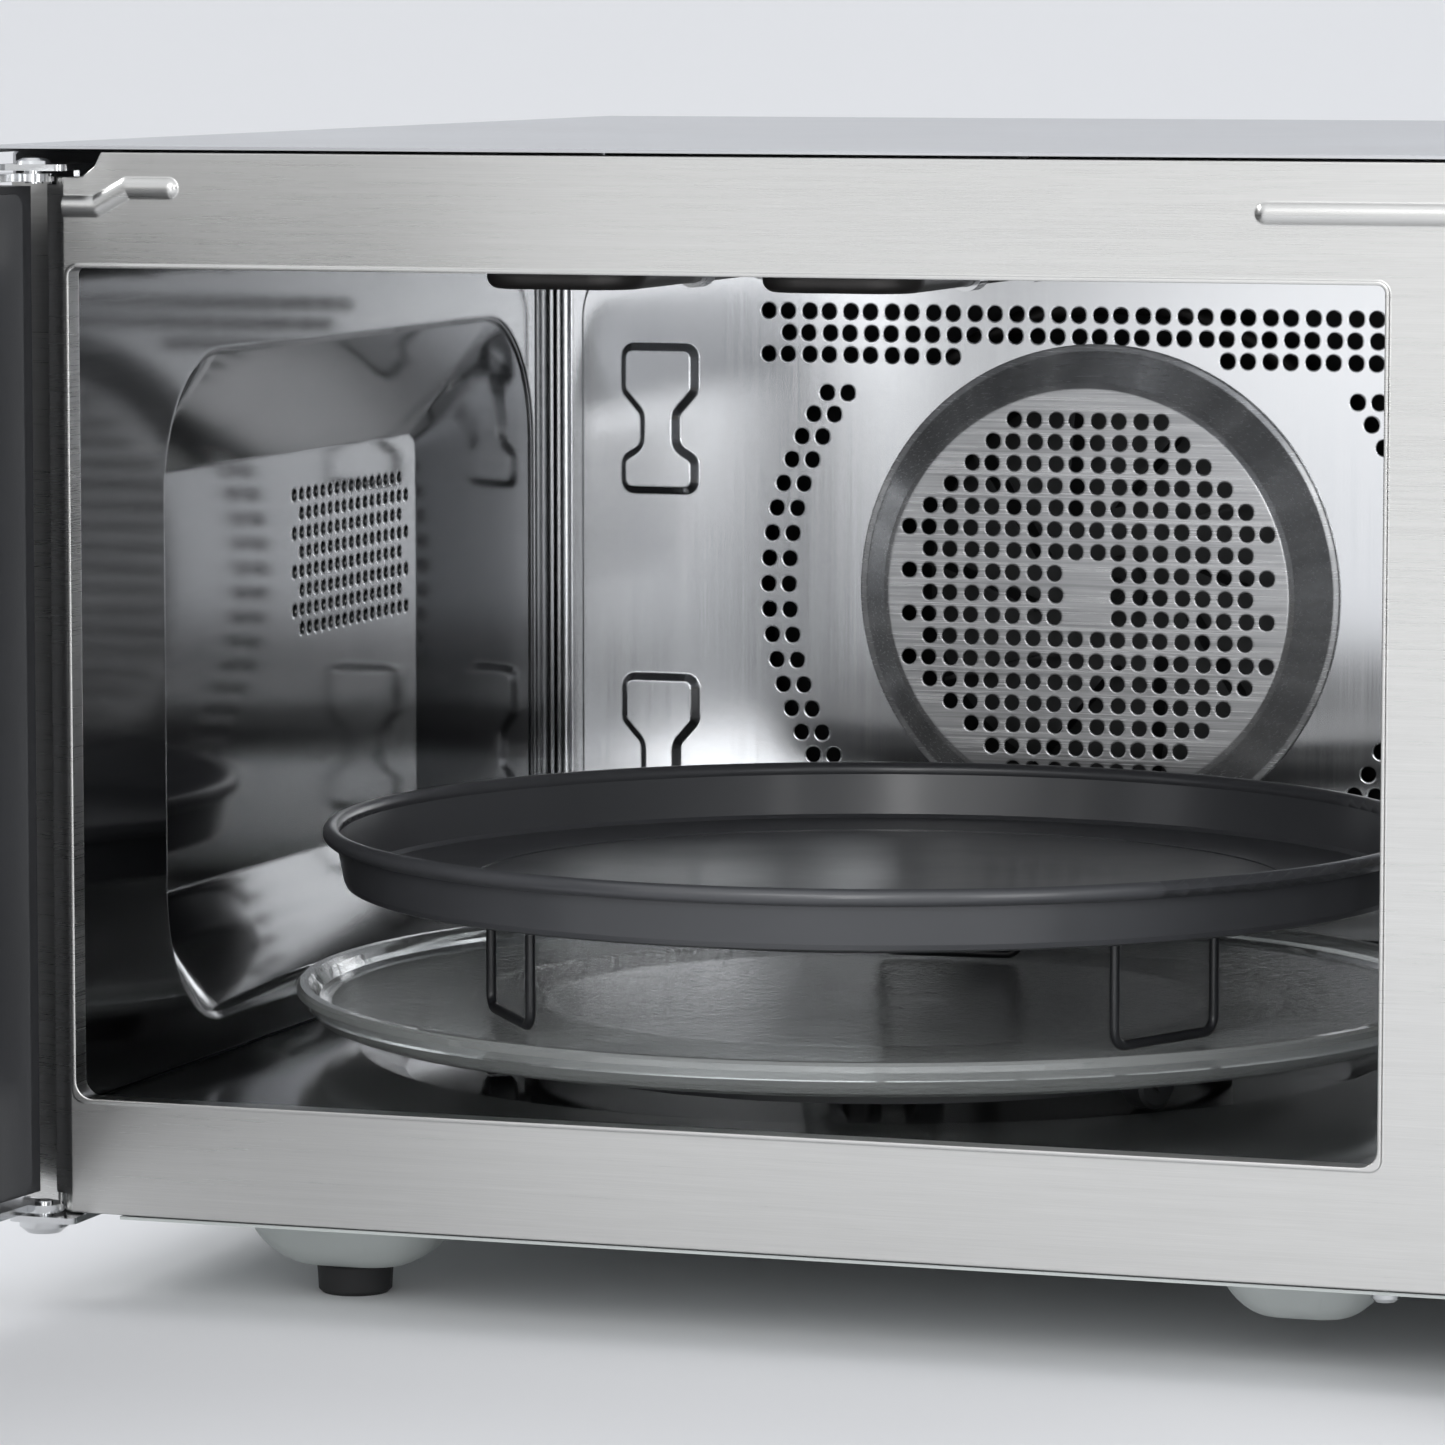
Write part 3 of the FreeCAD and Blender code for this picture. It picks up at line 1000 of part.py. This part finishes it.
# ---- control side ----------------------------------------------------------
def control_panel():
    """Moulded fascia over the component bay with openings for its controls."""
    y0 = DOOR_OUT
    y1 = Y_FRONT - 0.8
    shell = slab_xz(PANEL_X0, X_RIGHT, DOOR_Z0 - 2, 296.4, 5, y0, y1)
    hollow = slab_xz(PANEL_X0 + 2.4, X_RIGHT - 2.4, DOOR_Z0 + 0.4, 294, 3, y0 + 2.4, y1 + 1)
    screen = slab_xz(DISPLAY[0], DISPLAY[1], DISPLAY[2], DISPLAY[3], 3, y0 - 1, y0 + 4)
    shaft = Part.makeCylinder(4.2, 6, V(KNOB_X, y0 - 1, KNOB_Z), V(0, 1, 0))
    wells = [slab_xz(x - 17.3, x + 17.3, z - 6.8, z + 6.8, 3.3, y0 - 1, y0 + 4)
             for name, x, z in BUTTONS]
    return cut(shell, [hollow, screen, shaft] + wells)


def display_window():
    pane = slab_xz(DISPLAY[0] + 0.3, DISPLAY[1] - 0.3, DISPLAY[2] + 0.3, DISPLAY[3] - 0.3, 2.7,
                   DOOR_OUT + 0.4, DOOR_OUT + 2.4)
    ledge = slab_xz(DISPLAY[0] - 3, DISPLAY[1] + 3, DISPLAY[2] - 3, DISPLAY[3] + 3, 3,
                    DOOR_OUT + 2.45, DOOR_OUT + 4)
    return fuse([pane, ledge, slab_xz(DISPLAY[0] + 1, DISPLAY[1] - 1, DISPLAY[2] + 1, DISPLAY[3] - 1,
                                      2.6, DOOR_OUT + 2.0, DOOR_OUT + 3)])


def control_knob():
    """Turning selector with a ridged grip and a stem into the panel."""
    y = DOOR_OUT
    grip = lathe([(0, 0.4), (25.0, 0.4), (25.0, 3.4), (21.5, 4.6), (20.6, 20), (18.8, 21.6), (0, 21.6)],
                 V(KNOB_X, y, KNOB_Z), V(0, -1, 0))
    flutes = []
    for k in range(36):
        angle = math.radians(10 * k)
        start = V(KNOB_X + 21.7 * math.cos(angle), y - 5.2, KNOB_Z + 21.7 * math.sin(angle))
        flutes.append(rod(start, start + V(0, -20, 0), 0.9))
    pointer = box(KNOB_X - 0.8, KNOB_X + 0.8, y - 22.2, y - 20.8, KNOB_Z + 7, KNOB_Z + 17)
    stem = Part.makeCylinder(3.4, 12, V(KNOB_X, y - 1, KNOB_Z), V(0, 1, 0))
    return fuse([cut(grip, flutes), pointer, stem])


def push_button(x, z):
    y = DOOR_OUT
    cap = slab_xz(x - 17.0, x + 17.0, z - 6.5, z + 6.5, 3.0, y - 1.8, y + 2.0)
    front = [edge for edge in cap.Edges if edge.BoundBox.YMax < y - 1.7]
    cap = cap.makeFillet(0.9, front)
    collar = slab_xz(x - 18.2, x + 18.2, z - 7.8, z + 7.8, 3.6, y + 2.75, y + 4.2)
    neck = slab_xz(x - 15, x + 15, z - 5, z + 5, 2, y + 1.5, y + 3)
    return fuse([cap, neck, collar])


def control_board():
    y = DOOR_OUT + 10
    board = box(PANEL_X0 + 6, X_RIGHT - 6, y, y + 1.6, 62, 288)
    relay = [box(PANEL_X0 + 8 + 24 * k, PANEL_X0 + 26 + 24 * k, y + 1.6, y + 18, 96, 124) for k in range(4)]
    small_transformer = box(PANEL_X0 + 12, PANEL_X0 + 54, y + 1.6, y + 19, 232, 266)
    encoder = box(KNOB_X - 7, KNOB_X + 7, y - 0.1, y + 6, KNOB_Z - 7, KNOB_Z + 7)
    tube_glass = box(DISPLAY[0] + 4, DISPLAY[1] - 4, DOOR_OUT + 5, y + 0.1, DISPLAY[2] + 4, DISPLAY[3] - 4)
    hole = Part.makeCylinder(3.8, 16, V(KNOB_X, DOOR_OUT + 7, KNOB_Z), V(0, 1, 0))
    bosses = [Part.makeCylinder(2.4, 5, V(x, DOOR_OUT + 6.0, z), V(0, 1, 0)) for name, x, z in BUTTONS]
    return cut(fuse([board, small_transformer, encoder, tube_glass] + relay + bosses), [hole])


def interlock_bracket():
    """Moulded housing behind the frame that takes the door hooks."""
    y = Y_FRONT + 1.2
    x = LATCH_X
    outer = box(x - 9.5, x + 11.5, y, y + 27, 66, 262)
    inner = box(x - 7.6, x + 9.6, y + 1.6, y + 28, 68, 260)
    slots = [box(x - 5.6, x + 5.6, y - 1, y + 2, z - 12, z + 12) for z in LATCH_Z]
    ledges = [box(x - 8, x + 10, y + 1.4, y + 5.4, z + 12.4, z + 15.4) for z in LATCH_Z]
    return fuse([cut(outer, [inner] + slots)] + ledges)


def door_switches():
    switches = []
    for z in (LATCH_Z[0], LATCH_Z[0] + 30, LATCH_Z[1]):
        side = LATCH_X + 11.8
        body = box(side, side + 10, Y_FRONT + 6, Y_FRONT + 26, z - 6, z + 6)
        terminals = [box(side + 10, side + 16, Y_FRONT + 9 + 7 * k, Y_FRONT + 9.8 + 7 * k, z - 2.4, z + 2.4)
                     for k in range(3)]
        switches.append(fuse([body] + terminals))
    return switches


def case_screws():
    """Identical pan-head screws: round the rear panel and up into the front frame."""
    rear = [screw(V(x, Y_REAR - 0.7, z), V(0, 1, 0), shank_l=5.0) for x, z in REAR_SCREWS]
    front = [screw(V(x, y, BASE_Z), V(0, 0, -1), shank_l=5.0) for x, y in FRONT_SCREWS]
    return rear + front


BODY_PARTS = {
    "front_frame": front_frame, "outer_cover": outer_cover, "base_pan": base_pan,
    "rear_panel": rear_panel, "cord_gland": cord_gland, "feet": feet,
    "hinge_rivet": hinge_rivet, "hinge_screw": hinge_screw, "case_screws": case_screws,
    "cavity_left_wall": cavity_left_wall, "cavity_right_wall": cavity_right_wall,
    "cavity_ceiling": cavity_ceiling, "cavity_floor": cavity_floor,
    "cavity_back_wall": cavity_back_wall, "fan_cover": fan_cover,
    "convection_housing": convection_housing, "ring_element": ring_element,
    "grill_element": grill_element, "element_clips": element_clips,
    "turntable_motor": turntable_motor, "turntable_coupler": turntable_coupler,
    "roller_ring": roller_ring, "glass_turntable": glass_turntable, "wire_rack": wire_rack,
    "baking_tray": baking_tray, "convection_fan": convection_fan,
    "convection_motor": convection_motor, "waveguide": waveguide,
    "waveguide_cover": waveguide_cover, "magnetron": magnetron, "transformer": transformer,
    "capacitor": capacitor, "diode": diode, "fan_shroud": fan_shroud,
    "cooling_motor": cooling_motor, "cooling_fan": cooling_fan, "cavity_lamp": cavity_lamp,
    "control_board": control_board, "interlock_bracket": interlock_bracket,
    "door_switches": door_switches, "control_panel": control_panel,
    "display_window": display_window, "control_knob": control_knob,
}
DOOR_PARTS = {
    "door_inner_panel": door_inner_panel, "door_choke_cover": door_choke_cover,
    "door_inner_glass": door_inner_glass, "door_body": door_body, "door_skin": door_skin,
    "door_outer_glass": door_outer_glass, "door_handle": door_handle,
    "door_hinge_plates": door_hinge_plates, "latch_hooks": latch_hooks,
    "latch_spring": latch_spring,
}


def main():
    for name, make in BODY_PARTS.items():
        save(name, make())
    save("hinge_brackets", [hinge_bracket(HINGE_UP_Z, True), hinge_bracket(HINGE_LOW_Z, False)])
    for k in range(3):
        save("roller_%d" % (k + 1), roller(k))
    for name, x, z in BUTTONS:
        save(name, push_button(x, z))
    for name, make in DOOR_PARTS.items():
        made = make()
        pieces = made if isinstance(made, list) else [made]
        save(name, [swing_door(piece) for piece in pieces])


main()
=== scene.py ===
import json
import math

import bmesh
import bpy
from mathutils import Euler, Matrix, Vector

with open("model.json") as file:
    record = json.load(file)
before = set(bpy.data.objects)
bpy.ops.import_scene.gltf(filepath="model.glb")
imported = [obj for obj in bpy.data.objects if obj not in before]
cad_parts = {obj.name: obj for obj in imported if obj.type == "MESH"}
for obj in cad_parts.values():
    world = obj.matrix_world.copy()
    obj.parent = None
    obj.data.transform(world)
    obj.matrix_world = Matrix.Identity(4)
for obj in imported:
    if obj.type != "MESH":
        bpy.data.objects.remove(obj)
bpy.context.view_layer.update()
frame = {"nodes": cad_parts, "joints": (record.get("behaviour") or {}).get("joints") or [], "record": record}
NODES = frame["nodes"]


# ---- places taken from the frame -------------------------------------------
def joint_place(name):
    return next(Vector(j["pos_m"]) for j in frame["joints"] if j["name"] == name)


TABLE = joint_place("turntable_spin")
FAN = joint_place("hot_air_fan_spin")
FLOOR_Z = 0.0
GLASS_Z = 0.064         # height the turntable glass's rings are measured at


# ---- material helpers ------------------------------------------------------
GLASS_ROUGH = (0.03, 0.06)
# Radii in metres over which the glass's moulded pebbles come in and fade out.
PEBBLES_START = (0.088, 0.092)
PEBBLES_END = (0.146, 0.149)
# Radii over which the fan cover's face gives way to its turned rim, which carries painted streaky
# reflections.
COVER_RIM = (0.0600, 0.0612)
COVER_SHADE = 0.74


class Shader:
    """One material being built: its node tree, its Principled shader and short helpers."""

    def __init__(self, name, color, roughness, metallic=0.0):
        self.material = bpy.data.materials.new(name)
        self.material.use_nodes = True
        self.tree = self.material.node_tree
        self.bsdf = self.tree.nodes["Principled BSDF"]
        self.set("Base Color", (*color, 1.0))
        self.set("Roughness", roughness)
        self.set("Metallic", metallic)
        coords = self.tree.nodes.new("ShaderNodeTexCoord")
        self.place = coords.outputs["Object"]

    def set(self, socket, value):
        self.bsdf.inputs[socket].default_value = value

    def link(self, source, socket):
        self.tree.links.new(source, self.bsdf.inputs[socket])

    def node(self, kind, **inputs):
        made = self.tree.nodes.new(kind)
        for key, value in inputs.items():
            socket = made.inputs[key.replace("_", " ")]
            if isinstance(value, bpy.types.NodeSocket):
                self.tree.links.new(value, socket)
            else:
                socket.default_value = value
        return made

    def stretched(self, scale):
        return self.node("ShaderNodeMapping", Vector=self.place, Scale=scale).outputs[0]

    def noise(self, vector, scale, detail=4.0, rough=0.55):
        return self.node("ShaderNodeTexNoise", Vector=vector, Scale=scale, Detail=detail,
                         Roughness=rough).outputs["Fac"]

    def spread(self, value, low, high, start=0.3, end=0.7):
        made = self.node("ShaderNodeMapRange", Value=value)
        made.inputs["From Min"].default_value = start
        made.inputs["From Max"].default_value = end
        made.inputs["To Min"].default_value = low
        made.inputs["To Max"].default_value = high
        return made.outputs["Result"]

    def math(self, operation, first, second=0.0):
        made = self.tree.nodes.new("ShaderNodeMath")
        made.operation = operation
        for socket, value in zip(made.inputs, (first, second)):
            if isinstance(value, bpy.types.NodeSocket):
                self.tree.links.new(value, socket)
            else:
                socket.default_value = value
        return made.outputs[0]

    def tint(self, value, dark, light):
        made = self.tree.nodes.new("ShaderNodeMix")
        made.data_type = "RGBA"
        self.tree.links.new(value, made.inputs["Factor"])
        made.inputs["A"].default_value = (*dark, 1.0)
        made.inputs["B"].default_value = (*light, 1.0)
        self.link(made.outputs["Result"], "Base Color")

    def bump(self, height, distance, strength=1.0, edge=0.0):
        """Fine relief; edge rounds the corners of sheet metal by that radius."""
        made = self.node("ShaderNodeBump", Height=height, Distance=distance, Strength=strength)
        if edge:
            rounding = self.node("ShaderNodeBevel", Radius=edge)
            rounding.samples = 8
            self.tree.links.new(rounding.outputs[0], made.inputs["Normal"])
        self.link(made.outputs["Normal"], "Normal")


def brushed(name, dark, light, rough, grain, depth=0.000004, edge=0.0, spread=0.0, turn=0.0,
            metallic=1.0):
    """Brushed steel: grain is the scale along X, Y and Z, small along the brushing.

    Reflections spread across the brushing by the amount spread; turn is 0.25 for upright.
    """
    shader = Shader(name, light, rough[0], metallic)
    shader.set("Anisotropic", spread)
    shader.set("Anisotropic Rotation", turn)
    fine = shader.noise(shader.stretched(grain), 1.0, 3.0, 0.7)
    broad = shader.noise(shader.stretched(tuple(g * 0.22 for g in grain)), 1.0, 2.0)
    cloud = shader.noise(shader.place, 6.0, 2.0)
    mixed = shader.math("ADD", shader.math("MULTIPLY", fine, 0.7),
                        shader.math("MULTIPLY", broad, 0.3))
    shader.tint(shader.spread(mixed, 0, 1, 0.25, 0.75), dark, light)
    haze = shader.math("ADD", shader.math("MULTIPLY", mixed, 0.6),
                       shader.math("MULTIPLY", cloud, 0.4))
    shader.link(shader.spread(haze, rough[0], rough[1]), "Roughness")
    shader.bump(mixed, depth, 1.0, edge)
    return shader.material


def satin(name, color, rough, speckle=900.0, depth=0.00001, vary=0.12, coat=0.0, metallic=0.0):
    """Moulded or coated surface with a fine grain and faint handling marks."""
    shader = Shader(name, color, rough, metallic)
    grain = shader.noise(shader.place, speckle, 3.0)
    marks = shader.noise(shader.place, 14.0, 5.0)
    dark = tuple(c * (1 - vary) for c in color)
    light = tuple(min(1.0, c * (1 + vary)) for c in color)
    shader.tint(shader.spread(marks, 0, 1), dark, light)
    shader.link(shader.spread(marks, rough * 0.85, min(1.0, rough * 1.2)), "Roughness")
    shader.bump(grain, depth)
    shader.set("Coat Weight", coat)
    shader.set("Coat Roughness", min(rough, 0.18))
    return shader.material


def table_glass():
    """Turntable glass: plain middle disc, moulded texture outside it."""
    shader = Shader("table_glass", (0.94, 0.97, 0.96), GLASS_ROUGH[0])
    shader.set("Transmission Weight", 0.82)
    shader.set("IOR", 1.55)
    smears = shader.noise(shader.place, 22.0, 4.0)
    shader.link(shader.spread(smears, *GLASS_ROUGH), "Roughness")
    offset = shader.node("ShaderNodeVectorMath", Vector=shader.place)
    offset.operation = "DISTANCE"
    offset.inputs[1].default_value = (TABLE.x, TABLE.y, GLASS_Z)
    radius = offset.outputs["Value"]
    ring = shader.math("MULTIPLY", shader.spread(radius, 0.35, 1, *PEBBLES_START),
                       shader.spread(radius, 1, 0, *PEBBLES_END))
    pebble = shader.noise(shader.place, 520.0, 2.0)
    shader.bump(shader.math("MULTIPLY", pebble, ring), 0.0014, 0.8)
    return shader.material


def cavity_steel(name, shade, grain, rough, edge=0.0006, spread=0.0, metallic=1.0):
    """Bright rolled steel of the cooking cavity; shade is its reflectance, which is set differently for each
    wall to paint on it the light and shade it catches.
    """
    dark = (shade * 0.92, shade * 0.94, shade * 0.965)
    light = (shade * 1.04, shade * 1.05, shade * 1.07)
    return brushed(name, dark, light, rough, grain, 0.000002, edge, spread, 0.0, metallic)


MATERIALS = {
    "stainless_brushed": brushed("stainless_brushed", (0.56, 0.558, 0.546), (0.66, 0.658, 0.646),
                                 (0.24, 0.34), (40, 40, 4200), 0.000004, 0.0007, 0.75, 0.25),
    "cover_steel": satin("cover_steel", (0.50, 0.51, 0.53), 0.42, 1500, 0.000006, 0.05, 0.2, 0.6),
    "galvanised": satin("galvanised", (0.62, 0.64, 0.66), 0.40, 300, 0.00001, 0.10, 0.0, 0.85),
    "cavity_steel": cavity_steel("cavity_steel", 0.84, (1800, 1800, 12), (0.15, 0.23), 0.0009, 0.6),
    "chrome": satin("chrome", (0.62, 0.63, 0.64), 0.16, 250, 0.000006, 0.06, 0.0, 1.0),
    "nonstick": satin("nonstick", (0.066, 0.068, 0.074), 0.36, 1300, 0.00001, 0.08, 0.3, 0.1),
    "black_wire": satin("black_wire", (0.022, 0.023, 0.026), 0.32, 800, 0.00001, 0.15, 0.2),
    "clear_glass": table_glass(),
    "smoked_glass": satin("smoked_glass", (0.012, 0.013, 0.015), 0.06, 40, 0.000001, 0.10, 0.6),
    "black_plastic": satin("black_plastic", (0.035, 0.036, 0.040), 0.38, 900, 0.00002, 0.12),
    "grey_plastic": satin("grey_plastic", (0.055, 0.057, 0.060), 0.42, 700, 0.00001, 0.08),
    "white_plastic": satin("white_plastic", (0.72, 0.72, 0.70), 0.45, 700, 0.00001, 0.06),
    "panel_black": satin("panel_black", (0.018, 0.019, 0.021), 0.12, 600, 0.000004, 0.10, 0.5),
    "button_grey": satin("button_grey", (0.42, 0.43, 0.44), 0.28, 800, 0.000006, 0.06, 0.2, 0.8),
    "rubber": satin("rubber", (0.016, 0.016, 0.017), 0.70, 700, 0.00004, 0.15),
    "element": satin("element", (0.060, 0.056, 0.054), 0.40, 400, 0.00003, 0.35, 0.0, 0.5),
    "mica": satin("mica", (0.56, 0.52, 0.43), 0.55, 160, 0.00004, 0.18),
    "pcb": satin("pcb", (0.04, 0.18, 0.08), 0.40, 300, 0.00002, 0.15, 0.3),
    "spring_steel": satin("spring_steel", (0.55, 0.56, 0.58), 0.25, 400, 0.00001, 0.08, 0.0, 1.0),
    "aluminium": satin("aluminium", (0.72, 0.73, 0.74), 0.34, 300, 0.00001, 0.08, 0.0, 1.0),
}


def spun_cover():
    """Fan cover: a plain brushed face inside a turned rim, with painted streaky reflections out from its
    middle.
    """
    shader = Shader("fan_cover_steel", (COVER_SHADE, COVER_SHADE, COVER_SHADE), 0.2, 0.62)
    offset = shader.node("ShaderNodeVectorMath", Vector=shader.place)
    offset.operation = "SUBTRACT"
    offset.inputs[1].default_value = FAN
    parts = shader.node("ShaderNodeSeparateXYZ", Vector=offset.outputs[0])
    across, up = parts.outputs["X"], parts.outputs["Z"]
    angle = shader.math("ARCTAN2", up, across)
    radius = shader.math("SQRT", shader.math("ADD", shader.math("MULTIPLY", across, across),
                                             shader.math("MULTIPLY", up, up)))
    turned = shader.node("ShaderNodeCombineXYZ", X=angle)
    # painted reflection: broad light and dark streaks around the fan's middle, standing in for the rim's
    # streaky reflections
    painted_streaks = shader.noise(turned.outputs[0], 3.2, 3.0, 0.6)
    rim = shader.spread(radius, 0, 1, *COVER_RIM)
    grain = shader.noise(shader.stretched((14, 900, 1500)), 1.0, 3.0, 0.7)
    mixed = shader.math("ADD", shader.math("MULTIPLY", painted_streaks, rim),
                        shader.math("MULTIPLY", grain, shader.math("SUBTRACT", 1.0, rim)))
    # tint: painted streaky reflection on the rim, brushed grain on the face
    shader.tint(shader.spread(mixed, 0, 1, 0.36, 0.64), (0.46, 0.465, 0.475), (0.86, 0.865, 0.875))
    shader.link(shader.spread(grain, 0.20, 0.30), "Roughness")
    shader.bump(mixed, 0.000002, 1.0, 0.0009)
    return shader.material


# Rolling grain of the side walls, and of the ceiling and floor.
GRAIN_SIDE = (900, 14, 1500)
GRAIN_LEVEL = (14, 1500, 900)

# Nodes finished another way from the material of their slot. The cavity walls are one steel in lit and
# shaded copies: painted shade darkens the left wall and floor, and painted light brightens the right wall
# and ceiling.
OWN_FINISH_AND_PAINTED_LIGHT = {
    # painted shade: the left wall is the cavity steel painted much darker
    "cavity_left_wall": cavity_steel("left_wall_steel_painted_shade", 0.25, GRAIN_SIDE, (0.07, 0.12), 0.0016),
    # painted light: the right wall is the cavity steel painted lighter and partly diffuse so it shows lit
    "cavity_right_wall": cavity_steel("right_wall_steel_painted_light", 0.90, GRAIN_SIDE, (0.22, 0.34),
                                      metallic=0.75),
    # painted light: the ceiling is the cavity steel painted lighter and partly diffuse so it shows lit
    "cavity_ceiling": cavity_steel("ceiling_steel_painted_light", 0.88, GRAIN_LEVEL, (0.22, 0.34),
                                   metallic=0.75),
    # painted shade: the floor is the cavity steel painted much darker
    "cavity_floor": cavity_steel("floor_steel_painted_shade", 0.20, GRAIN_LEVEL, (0.08, 0.16), 0.001),
    "fan_cover": spun_cover(),
    "convection_housing": satin("housing_steel", (0.030, 0.031, 0.033), 0.55, 300, 0.00001,
                                0.20, 0.0, 0.3),
    "convection_fan": satin("fan_steel", (0.10, 0.102, 0.105), 0.45, 300, 0.00001,
                            0.20, 0.0, 0.6),
    "base_pan": satin("base_pan_steel", (0.50, 0.53, 0.52), 0.50, 420, 0.00001, 0.08, 0.0, 0.3),
}


def dress_cad_nodes():
    """Gives every CAD node its slot's material, or its own finish, which for the cavity walls and fan cover
    holds painted light and shade.
    """
    slots = {s["node"]: s["material_slot"] for s in frame["record"]["subparts"]}
    for name, node in NODES.items():
        node.data.materials.clear()
        node.data.materials.append(OWN_FINISH_AND_PAINTED_LIGHT.get(name, MATERIALS[slots[name]]))


dress_cad_nodes()


# ---- surroundings, light and camera ----------------------------------------
# Height of the direction looked in, and the brightness there.
SKY_LOW = (0.08, 0.35)
SKY_HIGH = (0.50, 1.13)
SWEEP_HALF = 9.0        # half width of the floor and its reach in front
SWEEP_BACK = 4.0        # where the floor starts to rise
SWEEP_R = 1.6
SWEEP_TOP = 7.0
SWEEP_STEPS = 16
FLOOR_PALE = (0.80, 0.805, 0.82)
# Painted shade: the floor far in front is painted dim and pales towards the oven over the stretch of Y
# below, so the steel reflects a dim room in front.
FLOOR_PAINTED_SHADE = (0.42, 0.422, 0.43)
PAINTED_SHADE_SPAN = (-1.7, -0.75)        # the floor pales over this stretch of Y


def surroundings():
    """Pale floor that sweeps up into a backdrop, with painted shade on the floor far in front."""
    profile = [(-SWEEP_HALF, FLOOR_Z), (SWEEP_BACK, FLOOR_Z)]
    for k in range(1, SWEEP_STEPS + 1):
        angle = math.radians(90) * k / SWEEP_STEPS
        profile.append((SWEEP_BACK + SWEEP_R * math.sin(angle),
                        SWEEP_R - SWEEP_R * math.cos(angle)))
    profile.append((SWEEP_BACK + SWEEP_R, SWEEP_TOP))
    mesh = bmesh.new()
    rows = [[mesh.verts.new((x, y, z)) for x in (-SWEEP_HALF, SWEEP_HALF)] for y, z in profile]
    for low, high in zip(rows, rows[1:]):
        mesh.faces.new((low[0], low[1], high[1], high[0]))
    data = bpy.data.meshes.new("backdrop")
    mesh.to_mesh(data)
    mesh.free()
    for polygon in data.polygons:
        polygon.use_smooth = True
    sweep = bpy.data.objects.new("backdrop", data)
    bpy.context.scene.collection.objects.link(sweep)
    shader = Shader("backdrop", FLOOR_PALE, 0.85)
    faint = shader.noise(shader.place, 3.0)
    shader.link(shader.spread(faint, 0.82, 0.88), "Roughness")
    along = shader.node("ShaderNodeSeparateXYZ", Vector=shader.place).outputs["Y"]
    # painted shade: the floor is darker in front and pales over that stretch of Y
    shader.tint(shader.spread(along, 0, 1, *PAINTED_SHADE_SPAN), FLOOR_PAINTED_SHADE, FLOOR_PALE)
    data.materials.append(shader.material)


def area_light(name, place, target, size, power):
    data = bpy.data.lights.new(name, "AREA")
    data.shape = "RECTANGLE"
    data.size, data.size_y = size
    data.energy = power
    light = bpy.data.objects.new(name, data)
    light.location = place
    aim = Vector(target) - Vector(place)
    light.rotation_euler = aim.to_track_quat("-Z", "Y").to_euler()
    bpy.context.scene.collection.objects.link(light)


def studio_sky():
    """Bright ceiling over a dim room, so that steel shows both."""
    world = bpy.data.worlds.new("studio")
    world.use_nodes = True
    tree = world.node_tree
    background = tree.nodes["Background"]
    background.inputs["Color"].default_value = (0.93, 0.945, 0.97, 1)
    facing = tree.nodes.new("ShaderNodeTexCoord")
    parts = tree.nodes.new("ShaderNodeSeparateXYZ")
    ramp = tree.nodes.new("ShaderNodeMapRange")
    ramp.interpolation_type = "SMOOTHSTEP"
    ramp.inputs["From Min"].default_value = SKY_LOW[0]
    ramp.inputs["From Max"].default_value = SKY_HIGH[0]
    ramp.inputs["To Min"].default_value = SKY_LOW[1]
    ramp.inputs["To Max"].default_value = SKY_HIGH[1]
    tree.links.new(facing.outputs["Generated"], parts.inputs[0])
    tree.links.new(parts.outputs["Z"], ramp.inputs["Value"])
    tree.links.new(ramp.outputs["Result"], background.inputs["Strength"])
    bpy.context.scene.world = world


# Name, place, the point it faces, its size, its power in watts.
LIGHTS = (
    ("front_left_box", (-0.22, -2.6, 0.65), (0.0, 0.2, 0.15), (2.15, 1.3), 6.5),
    ("front_box", (0.4, -3.2, 1.9), (0.1, 0.2, 0.2), (1.8, 1.0), 22),
    ("right_box", (2.4, -2.2, 0.9), (0.0, 0.2, 0.15), (0.9, 1.6), 18),
    ("strip", (0.55, -1.95, 0.46), (0.05, 0.2, 0.12), (0.26, 0.84), 5),
    ("left_box", (-2.4, -0.3, 2.0), (0.1, 0.0, 0.1), (1.0, 1.0), 30),
)

CAMERA_PLACE = (0.682095, -1.700958, 0.336264)
CAMERA_YAW = 18.8533
CAMERA_PITCH = 5.8388
CAMERA_LENS = 176.907


def camera():
    data = bpy.data.cameras.new("view")
    data.sensor_width = 36.0
    data.lens = CAMERA_LENS
    data.clip_start = 0.05
    data.clip_end = 60.0
    view = bpy.data.objects.new("view", data)
    view.location = CAMERA_PLACE
    view.rotation_euler = Euler((math.radians(90 - CAMERA_PITCH), 0, math.radians(CAMERA_YAW)))
    bpy.context.scene.collection.objects.link(view)
    bpy.context.scene.camera = view


surroundings()
studio_sky()
for light in LIGHTS:
    area_light(*light)
camera()
bpy.context.scene.view_settings.view_transform = "Standard"
